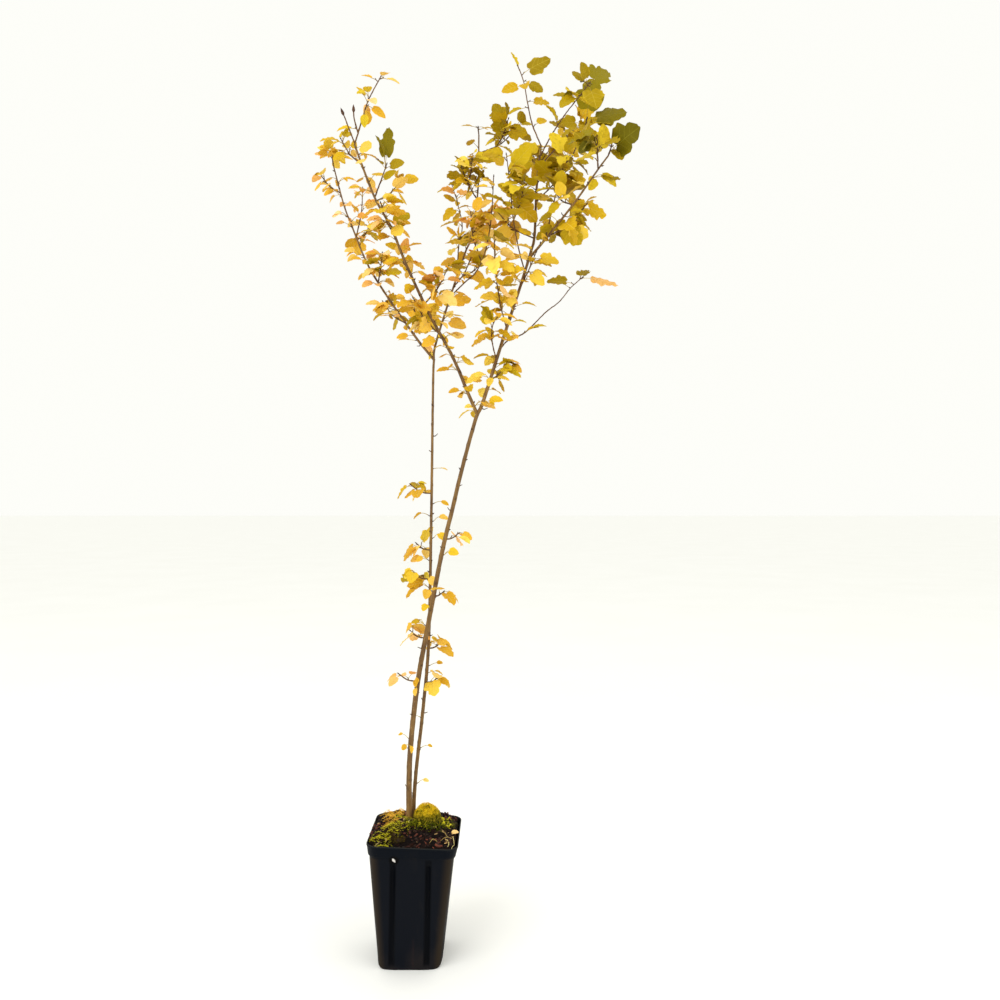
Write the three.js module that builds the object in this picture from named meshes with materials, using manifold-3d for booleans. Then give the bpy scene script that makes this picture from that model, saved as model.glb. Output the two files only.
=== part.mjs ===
// A potted alpine currant: a young two-stemmed nursery shrub in autumn leaf, in a deep square plastic
// pot. Millimetres, +Z up, origin at the centre of the pot's flat underside. -Y is the front and +X its
// right.
import * as THREE from "three";
import { LoftGeometry } from "three/addons/geometries/LoftGeometry.js";
import { mergeVertices } from "three/addons/utils/BufferGeometryUtils.js";
import Module from "manifold-3d";

const wasm = await Module();
wasm.setup();

// The gap that neighbouring solids keep, how far a solid is fattened to cut what touches it, and the
// widest gap that still seats a twig on its limb.
const CLEAR = 0.3;
const SHELL = 0.4;
const SEAT = 0.8;

// How far apart an axis is sampled when twigs look for room, and how far apart the rings of limbs and
// twigs stand.
const SAMPLE_STEP = 4;
const RING_EVERY = 34;
const TWIG_RING_EVERY = 13;

// The fine grids that a solid's corners may be set on, the thinnest face that may be left there, and how
// far a finished mass may be simplified.
const GRIDS = [0.01, 0.013, 0.017, 0.023];
const THINNEST = 0.0025;
const TIDY = 0.1;

// The pot: a square of soft black plastic, tapering down, with a collar round its mouth and two grooves a
// side. Being soft it leans a little to the right.
const POT = {
  height: 157,
  lean: 4.2,
  collarHeight: 14,
  rimHalf: 56.2,
  collarFootHalf: 53.6,
  bodyTopHalf: 52.2,
  baseHalf: 39,
  heel: 3,
  corner: 13,
  wall: 1.5,
  floor: 2,
  grooveDepth: 2.6,
  grooveHalfWidth: 3.4,
  grooveAt: 0.46,
  cornerSteps: 3,
};

// The soil: it fills the pot and is heaped to a small flat top where the two stems stand.
const GROUND = 168;
const SOIL = { top: 153, heapX: -5.5, heapY: 15, flatHalf: 13, lump: 1.6, gap: 0.4 };

const COLOURS = {
  pot: 0x15171b,
  soil: 0x2b1a12,
  moss: 0x8a8418,
  bark: 0x6b4a2c,
  orange: 0xe8a02a,
  gold: 0xdba912,
  olive: 0xb39a0a,
  green: 0x7d7d10,
};

// The two stems and the boughs. Each axis is a smooth curve through a few points, measured on the plant.
const MAIN_POINTS = [
  [-5, 12, 168], [-5, 11, 217], [-3, 9, 260], [3, 5, 316], [9, 2, 358], [18, -3, 405], [38, -9, 508],
  [53, -12, 570], [63, -13, 612], [81, -15, 678], [91, -14, 702], [116, -11, 781], [138, -7, 849],
  [151, -4, 892], [156, 0, 915], [159, 10, 978], [165, 20, 1038],
];
const SECOND_POINTS = [
  [-1, 21, 168], [3, 22, 226], [12, 24, 308], [19, 26, 395], [22, 29, 549], [24, 33, 722], [25, 34, 759],
  [27, 37, 782], [46, 47, 848], [65, 58, 909], [74, 64, 935], [82, 75, 1001], [83, 82, 1078],
];
const LEFT_POINTS = [
  [83, -15, 686], [70, -18, 716], [53, -22, 756], [24, -32, 809], [-3, -45, 866], [-19, -55, 906],
  [-39, -63, 942], [-61, -71, 1000],
];
const RIGHT_POINTS = [[147, -5, 882], [166, -22, 900], [200, -56, 934], [228, -84, 967], [238, -94, 978]];
const OUTER_LEFT_POINTS = [
  [25, 34, 762], [-1, 42, 795], [-46, 62, 861], [-70, 74, 902], [-92, 86, 955], [-104, 92, 986],
  [-119, 98, 1040],
];

// How thick each limb is at its foot and tip, as radii, and the heights where the two long axes change
// name.
const MAIN_RADII = { foot: 3.7, tip: 1.35 };
const SECOND_RADII = { foot: 2.5, tip: 0.95 };
const LEFT_RADII = { foot: 2.2, tip: 1.2 };
const RIGHT_RADII = { foot: 1.7, tip: 0.95 };
const OUTER_LEFT_RADII = { foot: 1.7, tip: 0.9 };
const LEADER_FORK = 682;
const UPRIGHT_FORK = 894;
const INNER_FORK = 760;
const FLARE = { extra: 1.3, fade: 9 };

// The rule for leafy twigs: they leave a limb by the golden angle, and leaves leave a twig the same way.
// A leaf's measures are shares of its blade's length, apart from the least stalk, its half width and the
// ridge on top.
const GOLDEN_ANGLE = 2.39996;
const LEAF = {
  stalk: 0.42, least: 9, stalkHalf: 0.6, ridge: 1, base: 0.05, shoulder: 0.36, lobeAt: 0.5, lobe: 0.5,
  centreAt: 0.42, droop: 0.1, from: 0.2, to: 0.97,
};
const TWIG_RADII = { foot: 1.25, tip: 0.85 };

// The room that a twig keeps from limbs and from other twigs past its root, and how far a leaf may lean
// out of its own twig's space, as a share of its blade.
const LIMB_ROOM = 4.5;
const TWIG_ROOM = 5;
const ROOT_LENGTH = 12;
const SPACE_SLACK = 0.35;

// Shoots whose course shows plainly. on: the limb they leave. leaves: how many, and how long their blades
// are. seen: the leaves that show plainly, each as the share of the shoot it grows at, its heading and
// rise in degrees, its blade's length, and how far it faces the front, from 0 for level to 1 for upright.
// side: its side twigs, which carry leaves too unless they are bare.
const SHOOTS = [
  { name: "left_bough_tip", on: "left_bough", tone: "orange", leaves: 10, blade: 16, seed: 11,
    seen: [[0.97, 0, -10, 16, 0.4], [0.93, 180, 20, 13, 0.4], [0.55, -20, -35, 19, 0.9],
      [0.2, 175, 0, 17, 0.5]],
    points: [[-61, -71, 1000], [-53, -66, 1032], [-46, -60, 1059], [-33, -52, 1090]],
    side: [[[-61, -71, 1002], [-67, -84, 1018], [-75, -96, 1038]],
      [[-57, -69, 1014], [-60, -80, 1028], [-60, -86, 1043]]],
    bareSides: true },
  { name: "left_bough_green_twig", on: "left_bough", tone: "olive", leaves: 5, blade: 22, seed: 12,
    seen: [[0.97, 100, 72, 27, 0.8], [0.85, 0, 5, 19, 0.9], [0.45, -30, -5, 17, 0.9]],
    points: [[-38, -63, 941], [-33, -52, 963], [-27, -42, 988]] },
  { name: "outer_left_tip", on: "outer_left_bough", tone: "orange", leaves: 8, blade: 17, seed: 13,
    seen: [[0.95, 185, 5, 16, 0.5], [0.6, 20, 10, 20, 0.5]],
    points: [[-119, 98, 1040], [-121, 100, 1050], [-122, 102, 1060]] },
  { name: "outer_left_thin_twig", on: "outer_left_bough", tone: "orange", leaves: 6, blade: 17, seed: 14,
    points: [[-85, 82, 938], [-80, 95, 978], [-80, 103, 1012]] },
  { name: "inner_bough_tip", on: "inner_bough", tone: "gold", leaves: 6, blade: 16, seed: 115,
    seen: [[0.97, 185, 12, 14, 0.3]],
    points: [[83, 82, 1078], [82, 83, 1090], [83, 84, 1102]] },
  { name: "inner_back_twig", on: "inner_bough", tone: "gold", leaves: 9, blade: 20, seed: 216,
    points: [[55, 53, 886], [56, 70, 922], [60, 86, 955], [53, 100, 990], [45, 110, 1019]] },
  { name: "inner_front_twig", on: "inner_bough", tone: "gold", leaves: 18, blade: 22, seed: 117,
    points: [[46, 47, 848], [64, 34, 862], [82, 16, 874], [94, 2, 898], [101, -6, 936], [104, -12, 984]],
    side: [[[88, 9, 884], [78, 0, 912], [75, -6, 940]]] },
  { name: "leader_long_twig", on: "leader", tone: "olive", leaves: 5, blade: 24, seed: 18, from: 0.8,
    seen: [[0.98, -5, -14, 31, 0.35], [0.9, 184, 8, 30, 0.55], [0.97, 60, 40, 22, 0.3],
      [0.25, 10, 25, 15, 0.3]],
    points: [[112, -11, 767], [122, -4, 780], [144, 10, 793], [171, 26, 822], [190, 38, 839],
      [206, 48, 860], [222, 57, 876]] },
  { name: "leader_front_twig", on: "leader", tone: "gold", leaves: 11, blade: 24, seed: 19,
    points: [[121, -10, 792], [114, -26, 814], [109, -42, 838], [106, -56, 864], [105, -68, 892]] },
  { name: "leader_low_twig", on: "leader", tone: "gold", leaves: 6, blade: 19, seed: 20,
    points: [[107, -12, 755], [102, -26, 776], [103, -38, 792], [110, -50, 802]] },
  { name: "leader_right_twig", on: "leader", tone: "gold", leaves: 7, blade: 20, seed: 321,
    points: [[136, -8, 843], [147, -26, 862], [156, -42, 880]] },
  { name: "leader_left_twig", on: "leader", tone: "olive", leaves: 15, blade: 24, seed: 27,
    points: [[143, -6, 868], [134, -14, 900], [128, -20, 935], [124, -24, 975], [120, -26, 1006]],
    side: [[[129, -19, 928], [138, -26, 950], [142, -30, 972]]] },
  { name: "upright_tip", on: "upright_bough", tone: "olive", leaves: 6, blade: 21, seed: 22,
    seen: [[0.7, -45, 18, 33, 0.8], [0.62, 188, -15, 22, 0.8], [0.68, -10, -30, 20, 0.7],
      [0.46, 0, -5, 20, 0.6], [0.4, 185, -20, 19, 0.4], [0.2, 20, 35, 15, 0.7]],
    points: [[165, 20, 1038], [154, 26, 1068], [148, 31, 1099], [143, 36, 1129], [134, 40, 1155],
      [128, 43, 1171]] },
  { name: "upright_right_twig", on: "upright_bough", tone: "green", leaves: 8, blade: 26, seed: 23,
    seen: [[0.98, 35, 40, 33, 0.9], [0.97, 250, 35, 20, 0.8], [0.84, 215, -35, 26, 0.6],
      [0.42, 180, 70, 20, 0], [0.98, -60, -62, 27, 0.5]],
    points: [[163, 16, 1020], [178, 6, 1045], [195, -8, 1066], [210, -22, 1080], [222, -32, 1092]] },
  { name: "upright_back_twig", on: "upright_bough", tone: "olive", leaves: 9, blade: 25, seed: 324,
    seen: [[0.97, 15, -62, 30, 0.8], [0.97, 195, -5, 25, 0.8]],
    points: [[162, 14, 1004], [173, 28, 1024], [191, 43, 1048], [210, 58, 1072], [226, 68, 1088]] },
  { name: "right_bough_tip", on: "right_bough", tone: "green", leaves: 5, blade: 24, seed: 25,
    seen: [[0.05, -58, 12, 38, 1], [0.5, 180, 20, 31, 0.8], [0.55, -60, -50, 20, 0.7]],
    points: [[238, -94, 978], [241, -97, 987], [242, -99, 996]] },
  { name: "right_inner_twig", on: "right_bough", tone: "olive", leaves: 11, blade: 27, seed: 26,
    seen: [[0.97, 0, 80, 44, 0.9], [0.97, -15, 10, 38, 0.6], [0.5, 60, 68, 30, 0.9],
      [0.64, -30, -8, 18, 0.6], [0.4, -20, 15, 27, 0.7]],
    points: [[168, -24, 902], [173, -18, 922], [179, -10, 950], [188, 0, 982], [199, 8, 1004],
      [208, 14, 1028], [217, 14, 1045], [224, 12, 1068]] },
];

// Shorter twigs, set out along a limb by rule: between which fractions of it, where the first one heads
// in degrees from +X, the length, leaves and blade of the lowest and the highest, and a seed for each.
const TWIG_RUNS = [
  { on: "left_bough", from: 0.3, to: 0.93, first: 200, length: [58, 38], leaves: [8, 6], blade: [21, 18],
    tones: ["orange", "orange", "gold"], seeds: [40, 41, 42, 43, 44, 45] },
  { on: "outer_left_bough", from: 0.2, to: 0.88, first: 150, length: [50, 36], leaves: [9, 6],
    blade: [20, 17], tones: ["orange", "orange", "orange"], seeds: [150, 51, 52, 153] },
  { on: "inner_bough", from: 0.12, to: 0.92, first: 170, length: [48, 62], leaves: [8, 13], blade: [20, 22],
    tones: ["orange", "gold", "olive"], seeds: [60, 61, 62, 63, 64], forked: true },
  { on: "leader", from: 0.22, to: 0.22, first: 20, length: [30, 30], leaves: [6, 6], blade: [18, 18],
    tones: ["orange"], seeds: [70] },
  { on: "upright_bough", from: 0.12, to: 0.8, first: 190, length: [66, 56], leaves: [13, 12],
    blade: [24, 26], tones: ["gold", "olive", "olive"], seeds: [80, 81, 82], forked: true },
  { on: "right_bough", from: 0.25, to: 0.88, first: 345, length: [56, 40], leaves: [9, 8], blade: [25, 27],
    tones: ["gold", "olive", "green"], seeds: [90, 91, 92] },
];

// How steeply such a twig leaves and how far it then lifts; where its own fork leaves it, how far round
// and how long; and how far it is turned, and how often a twig or a leaf is tried again, where it has no
// room.
const TWIG_RISE = { least: 0.35, spread: 0.5, lift: 0.55 };
const FORK = { at: 0.4, turn: 1.1, length: 0.6 };
const TURN_RETRY = 0.7;
const MOST_TURNS = 8;
const MOST_TRIES = 5;

// Small tufts low on the stems, whose leaves droop. height: above the pot's foot. heading: degrees from
// +X.
const TUFTS = [
  { on: "main_stem", height: 346, heading: 185, length: 26, leaves: 2, seed: 120 },
  { on: "main_stem", height: 402, heading: 165, length: 22, leaves: 3, seed: 121 },
  { on: "main_stem", height: 456, heading: 330, length: 16, leaves: 3, seed: 522 },
  { on: "main_stem", height: 528, heading: 10, length: 18, leaves: 3, seed: 223 },
  { on: "second_stem", height: 340, heading: 350, length: 18, leaves: 3, seed: 124 },
  { on: "second_stem", height: 384, heading: 15, length: 18, leaves: 3, seed: 125 },
  { on: "second_stem", height: 474, heading: 195, length: 24, leaves: 3, seed: 126 },
  { on: "second_stem", height: 512, heading: 160, length: 22, leaves: 4, seed: 127 },
  { on: "second_stem", height: 586, heading: 200, length: 30, leaves: 4, seed: 128 },
];
const TUFT = { blade: 19, tone: "orange", rise: 0.15, droop: 0.45 };

const V = (x, y, z) => new THREE.Vector3(x, y, z);
const UP = V(0, 0, 1);
const mix = (a, b, t) => a + (b - a) * t;

// The same number from 0 to 1 each time for one seed and draw.
function chance(seed, draw) {
  const wave = Math.sin(seed * 12.9898 + draw * 78.233) * 43758.5453;
  return wave - Math.floor(wave);
}

// Geometry as a closed solid, and a closed solid as geometry.
function solidOf(geometry) {
  geometry.deleteAttribute("normal");
  geometry.deleteAttribute("uv");
  const merged = mergeVertices(geometry, 1e-4);
  const made = new wasm.Mesh({
    numProp: 3,
    vertProperties: Float32Array.from(merged.attributes.position.array),
    triVerts: Uint32Array.from(merged.index.array),
  });
  return new wasm.Manifold(made);
}

function geometryOf(solid) {
  const mesh = solid.getMesh();
  const geometry = new THREE.BufferGeometry();
  geometry.setAttribute("position", new THREE.BufferAttribute(Float32Array.from(mesh.vertProperties), 3));
  geometry.setIndex(new THREE.BufferAttribute(Uint32Array.from(mesh.triVerts), 1));
  geometry.computeVertexNormals();
  return geometry;
}

const largest = (solid) => solid.decompose().reduce((a, b) => (b.volume() > a.volume() ? b : a));

// The largest piece of a solid with its corners set on a fine grid, so that it holds no scraps, sealed
// hollows or slivers. It is null where that would pinch the surface or leave a face too thin.
function onGrid(solid, grid, tolerance) {
  const mesh = largest(solid).simplify(tolerance ?? grid).getMesh();
  const numbers = new Map();
  const corners = [];
  const numberOf = (v) => {
    const place = [0, 1, 2].map((k) => Math.round(mesh.vertProperties[v * mesh.numProp + k] / grid));
    const key = place.join();
    if (!numbers.has(key)) {
      numbers.set(key, numbers.size);
      corners.push(...place.map((step) => step * grid));
    }
    return numbers.get(key);
  };
  const index = [];
  const edges = new Set();
  for (let face = 0; face < mesh.triVerts.length; face += 3) {
    const [a, b, c] = [0, 1, 2].map((k) => numberOf(mesh.triVerts[face + k]));
    if (a === b || b === c || c === a) continue;
    for (const edge of [`${a}_${b}`, `${b}_${c}`, `${c}_${a}`]) {
      if (edges.has(edge)) return null;
      edges.add(edge);
    }
    const [p, q, r] = [a, b, c].map((n) => V(...corners.slice(n * 3, n * 3 + 3)));
    const side = Math.max(p.distanceTo(q), q.distanceTo(r), r.distanceTo(p));
    if (q.sub(p).cross(r.sub(p)).length() / side < THINNEST) return null;
    index.push(a, b, c);
  }
  const geometry = new THREE.BufferGeometry().setIndex(index);
  geometry.setAttribute("position", new THREE.BufferAttribute(Float32Array.from(corners), 3));
  return largest(solidOf(geometry));
}

function wholePiece(solid, tolerance) {
  for (const grid of GRIDS) {
    const piece = onGrid(solid, grid, tolerance);
    if (piece) return piece;
  }
  return null;
}

function loft(sections) {
  const geometry = new LoftGeometry(sections, { capStart: true, capEnd: true });
  return solidOf(new THREE.BufferGeometry().copy(geometry));
}

// One level of a round-cornered square, shifted by the pot's lean. Its sides carry two grooves each, or
// one plain point where they would be.
function squareRing(half, z, { groove = 0, corner = POT.corner, centre = [0, 0], plain = false } = {}) {
  const ring = [];
  const lip = POT.grooveHalfWidth * Math.min(1, half / POT.baseHalf);
  const middle = centre[0] + (POT.lean * z) / POT.height;
  for (let side = 0; side < 4; side++) {
    const turn = (side * Math.PI) / 2;
    const put = (along, out) =>
      ring.push(V(middle + Math.cos(turn) * out - Math.sin(turn) * along,
        centre[1] + Math.sin(turn) * out + Math.cos(turn) * along, z));
    for (const at of [-POT.grooveAt, POT.grooveAt]) {
      if (!plain) put(at * half - lip, half);
      put(at * half, half - groove);
      if (!plain) put(at * half + lip, half);
    }
    for (let step = 0; step <= POT.cornerSteps; step++) {
      const angle = (step / POT.cornerSteps) * (Math.PI / 2);
      put(half - corner + corner * Math.sin(angle), half - corner + corner * Math.cos(angle));
    }
  }
  return ring;
}

const bodyHalfAt = (z) => mix(POT.baseHalf, POT.bodyTopHalf, z / (POT.height - POT.collarHeight));

const COLLAR_FOOT = POT.height - POT.collarHeight;
const GROOVE_TOP = COLLAR_FOOT - 4;
const rimHalfAt = (z) => mix(POT.collarFootHalf, POT.rimHalf, (z - COLLAR_FOOT) / POT.collarHeight);

function makePot() {
  const groove = POT.grooveDepth;
  const heel = POT.heel;
  const body = loft([
    squareRing(POT.baseHalf - heel, 0, { corner: POT.corner - heel }),
    squareRing(bodyHalfAt(heel), heel),
    squareRing(bodyHalfAt(heel * 3), heel * 3, { groove }),
    squareRing(bodyHalfAt(GROOVE_TOP - 8), GROOVE_TOP - 8, { groove }),
    squareRing(bodyHalfAt(GROOVE_TOP), GROOVE_TOP),
    squareRing(bodyHalfAt(COLLAR_FOOT + 2), COLLAR_FOOT + 2),
  ]);
  const collar = loft([
    squareRing(POT.collarFootHalf, COLLAR_FOOT, { plain: true }),
    squareRing(POT.rimHalf, POT.height, { plain: true }),
  ]);
  const corner = POT.corner - POT.wall;
  const hollow = loft([
    squareRing(bodyHalfAt(heel) - POT.wall - 1, POT.floor, { corner }),
    squareRing(bodyHalfAt(heel * 3) - POT.wall, heel * 3, { groove, corner }),
    squareRing(bodyHalfAt(GROOVE_TOP - 8) - POT.wall, GROOVE_TOP - 8, { groove, corner }),
    squareRing(bodyHalfAt(GROOVE_TOP) - POT.wall, GROOVE_TOP, { corner }),
    squareRing(bodyHalfAt(COLLAR_FOOT + 1) - POT.wall, COLLAR_FOOT + 1, { corner }),
  ]);
  const mouth = loft([
    squareRing(bodyHalfAt(COLLAR_FOOT) - POT.wall, COLLAR_FOOT, { corner, plain: true }),
    squareRing(rimHalfAt(COLLAR_FOOT + 3) - POT.wall, COLLAR_FOOT + 3, { corner, plain: true }),
    squareRing(rimHalfAt(POT.height + 1) - POT.wall, POT.height + 1, { corner, plain: true }),
  ]);
  return body.add(collar).subtract(hollow.add(mouth));
}

// The soil fills the pot clear of its walls and grooves, and is heaped by seeded lumps to a flat where
// the stems stand. lift raises all of it.
function makeSoil(lift = 0) {
  const wall = POT.wall + SOIL.gap;
  const edge = rimHalfAt(SOIL.top - 4) - wall;
  const shares = [0.12, 0.45, 0.75];
  const levels = [
    { half: bodyHalfAt(POT.heel) - wall - POT.grooveDepth, z: POT.floor + SOIL.gap },
    { half: bodyHalfAt(COLLAR_FOOT) - wall - POT.grooveDepth, z: COLLAR_FOOT },
    { half: edge, z: SOIL.top - 4 },
    { half: edge, z: SOIL.top },
    ...shares.map((share) => ({
      half: mix(edge, SOIL.flatHalf, share),
      pull: share,
      lump: SOIL.lump,
      z: mix(SOIL.top, GROUND, Math.sin((share * Math.PI) / 2)),
    })),
    { half: SOIL.flatHalf, z: GROUND, pull: 1 },
  ];
  return loft(levels.map(({ half, z, pull = 0, lump = 0 }, row) => {
    const centre = [SOIL.heapX * pull, SOIL.heapY * pull];
    const corner = Math.min(POT.corner - wall, half * 0.5);
    const ring = squareRing(half, z + lift, { corner, centre, plain: true });
    return ring.map((p, n) => {
      const draw = (which) => (chance(row * 50 + n, which) - 0.5) * lump;
      return V(p.x + draw(1), p.y + draw(2), p.z + draw(3) * 2);
    });
  }));
}

// A squashed ball of moss, uneven by seed.
function mossBall(x, y, z, wide, deep, high, seed) {
  const ball = new THREE.SphereGeometry(1, 10, 6);
  const place = mergeVertices(ball.deleteAttribute("normal").deleteAttribute("uv"), 1e-4);
  const at = place.attributes.position;
  for (let i = 0; i < at.count; i++) {
    const swell = 1 + (chance(seed, i) - 0.5) * 0.14;
    const [right, up, back] = [at.getX(i) * swell, at.getY(i) * swell, at.getZ(i) * swell];
    at.setXYZ(i, x + right * wide, y + back * deep, z - up * high);
  }
  return solidOf(place);
}

// An axis: its curve and its thickness along it.
function makeAxis(points, radii) {
  const curve = new THREE.CatmullRomCurve3(points.map((p) => V(...p)), false, "catmullrom", 0.5);
  return { ...radii, curve, length: curve.getLength(), from: 0, to: 1, flare: false };
}

// A point, the way along it and the thickness at a share of an axis or of its stretch.
function pointOn(axis, t) {
  return axis.curve.getPointAt(mix(axis.from, axis.to, t));
}

function tangentOn(axis, t) {
  return axis.curve.getTangentAt(mix(axis.from, axis.to, t));
}

function radiusOn(axis, t) {
  const base = mix(axis.foot, axis.tip, mix(axis.from, axis.to, t));
  if (!axis.flare) return base;
  return base + FLARE.extra * Math.exp((GROUND - pointOn(axis, t).z) / FLARE.fade);
}

function fractionAtHeight(axis, z) {
  let low = 0;
  let high = 1;
  for (let n = 0; n < 30; n++) {
    const middle = (low + high) / 2;
    if (axis.curve.getPointAt(middle).z < z) low = middle;
    else high = middle;
  }
  return low;
}

// The stretch of a long axis between two heights, as a limb of its own, a clear gap short of the next
// one.
function stretch(axis, zFrom, zTo) {
  const from = zFrom === null ? 0 : fractionAtHeight(axis, zFrom) + CLEAR / axis.length;
  const to = zTo === null ? 1 : fractionAtHeight(axis, zTo);
  return { ...axis, from, to, length: axis.length * (to - from) };
}

// A round tapering tube along an axis, as a solid. extra fattens it and makes it that much longer at both
// ends.
function tube(axis, sides, ringEvery, extra = 0) {
  const rings = Math.max(2, Math.round(axis.length / ringEvery));
  const sections = [];
  for (let k = 0; k <= rings; k++) {
    const t = axis.flare ? (k / rings) ** 1.15 : k / rings;
    const tangent = axis.flare && k === 0 ? UP : tangentOn(axis, t);
    const past = k === 0 ? -extra : k === rings ? extra : 0;
    const centre = pointOn(axis, t).addScaledVector(tangent, past);
    const side = V(0, 1, 0).addScaledVector(tangent, -tangent.y).normalize();
    const other = V(0, 0, 0).crossVectors(tangent, side);
    const radius = radiusOn(axis, t) + extra;
    const ring = [];
    for (let n = 0; n < sides; n++) {
      const angle = (n / sides) * 2 * Math.PI;
      ring.push(centre.clone().addScaledVector(side, Math.cos(angle) * radius)
        .addScaledVector(other, Math.sin(angle) * radius));
    }
    sections.push(ring);
  }
  return loft(sections);
}

// Points along an axis, past a first stretch that is skipped.
function samplesOf(axis, skip = 0) {
  const count = Math.max(2, Math.ceil(axis.length / SAMPLE_STEP));
  const found = [];
  for (let n = 0; n <= count; n++)
    if ((n / count) * axis.length >= skip) found.push(pointOn(axis, n / count));
  return found;
}

function nearest(points, others) {
  let least = Infinity;
  for (const p of points) for (const q of others) least = Math.min(least, p.distanceToSquared(q));
  return Math.sqrt(least);
}

// The limbs. Where a limb leaves the seam between two others, it is cut clear of both.
const mainAxis = makeAxis(MAIN_POINTS, MAIN_RADII);
const secondAxis = makeAxis(SECOND_POINTS, SECOND_RADII);
const limbs = {
  main_stem: { ...stretch(mainAxis, null, LEADER_FORK), flare: true },
  second_stem: { ...stretch(secondAxis, null, INNER_FORK), flare: true },
  leader: stretch(mainAxis, LEADER_FORK, UPRIGHT_FORK),
  upright_bough: stretch(mainAxis, UPRIGHT_FORK, null),
  inner_bough: stretch(secondAxis, INNER_FORK, null),
  left_bough: makeAxis(LEFT_POINTS, LEFT_RADII),
  right_bough: makeAxis(RIGHT_POINTS, RIGHT_RADII),
  outer_left_bough: makeAxis(OUTER_LEFT_POINTS, OUTER_LEFT_RADII),
};
const LIMB_SIDES = { main_stem: 8, second_stem: 7, leader: 7 };
const BOUGH_SIDES = 6;
const FORKS = { left_bough: ["main_stem", "leader"], right_bough: ["leader", "upright_bough"],
  outer_left_bough: ["second_stem", "inner_bough"] };

const limbSolids = {};
const limbShells = {};
for (const [name, axis] of Object.entries(limbs)) {
  axis.samples = samplesOf(axis);
  const sides = LIMB_SIDES[name] ?? BOUGH_SIDES;
  let solid = tube(axis, sides, RING_EVERY);
  for (const carrier of FORKS[name] ?? []) solid = solid.subtract(limbShells[carrier]);
  limbSolids[name] = wholePiece(solid);
  limbShells[name] = tube(axis, sides, RING_EVERY, SHELL);
}

// The masses: leafy shoots and twigs, each with its axes.
const masses = [];

// Whether a twig's axis, past its root, keeps clear of every limb and of the twigs before it.
function hasRoom(axis) {
  const mine = samplesOf(axis, ROOT_LENGTH);
  return Object.values(limbs).every((limb) => nearest(mine, limb.samples) > LIMB_ROOM) &&
    masses.every((mass) => mass.axes.every((other) => nearest(mine, other.samples) > TWIG_ROOM));
}

// The wood of a mass, cut clear of the limb that it leaves and of what that limb leaves in turn.
function woodOf(axes, on) {
  let wood = wasm.Manifold.union(axes.map((axis) => tube(axis, 3, TWIG_RING_EVERY)));
  for (const name of [on, ...(FORKS[on] ?? [])]) wood = wood.subtract(limbShells[name]);
  return wholePiece(wood);
}

function isSeated(axis, on) {
  const wood = woodOf([axis], on);
  return wood !== null && wood.minGap(limbSolids[on], SEAT * 4) < SEAT;
}

function addMass(spec, axes) {
  for (const axis of axes) axis.samples = samplesOf(axis);
  masses.push({ ...spec, axes });
}

for (const shoot of SHOOTS)
  addMass(shoot, [shoot.points, ...(shoot.side ?? [])].map((points) => makeAxis(points, TWIG_RADII)));

// A twig that leaves a limb at a fraction of it, heads out and then turns upwards.
function twigFrom(limb, at, heading, rise, length) {
  const foot = pointOn(limb, at);
  const out = V(Math.cos(heading) * Math.cos(rise), Math.sin(heading) * Math.cos(rise), Math.sin(rise));
  const middle = foot.clone().addScaledVector(out, length * 0.5);
  const lifted = out.clone().addScaledVector(UP, TWIG_RISE.lift).normalize();
  const end = middle.clone().addScaledVector(lifted, length * 0.5);
  return makeAxis([foot, middle, end].map((p) => p.toArray()), TWIG_RADII);
}

for (const run of TWIG_RUNS) {
  const limb = limbs[run.on];
  run.seeds.forEach((seed, n) => {
    const share = run.seeds.length > 1 ? n / (run.seeds.length - 1) : 0;
    const at = mix(run.from, run.to, share);
    const rise = TWIG_RISE.least + TWIG_RISE.spread * chance(seed, 1);
    const length = mix(...run.length, share) * mix(0.85, 1.15, chance(seed, 2));
    let heading = THREE.MathUtils.degToRad(run.first) + n * GOLDEN_ANGLE;
    let axis = twigFrom(limb, at, heading, rise, length);
    for (let turn = 0; turn < MOST_TURNS && !(hasRoom(axis) && isSeated(axis, run.on)); turn++) {
      heading += TURN_RETRY;
      axis = twigFrom(limb, at, heading, rise, length);
    }
    const axes = [axis];
    if (run.forked) {
      const turn = n % 2 ? FORK.turn : -FORK.turn;
      const fork = twigFrom(axis, FORK.at, heading + turn, rise, length * FORK.length);
      if (hasRoom(fork)) axes.push(fork);
    }
    const spec = {
      name: `${run.on}_twig_${n + 1}`,
      on: run.on,
      seed,
      leaves: Math.round(mix(...run.leaves, share)),
      blade: mix(...run.blade, share),
      tone: run.tones[Math.min(run.tones.length - 1, Math.floor(share * run.tones.length))],
    };
    addMass(spec, axes);
  });
}

TUFTS.forEach((tuft, n) => {
  const limb = limbs[tuft.on];
  const at = (fractionAtHeight(limb, tuft.height) - limb.from) / (limb.to - limb.from);
  const axis = twigFrom(limb, at, THREE.MathUtils.degToRad(tuft.heading), TUFT.rise, tuft.length);
  const name = `${tuft.on}_tuft_${n + 1}`;
  addMass({ ...tuft, name, blade: TUFT.blade, tone: TUFT.tone, droop: TUFT.droop }, [axis]);
});

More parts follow.
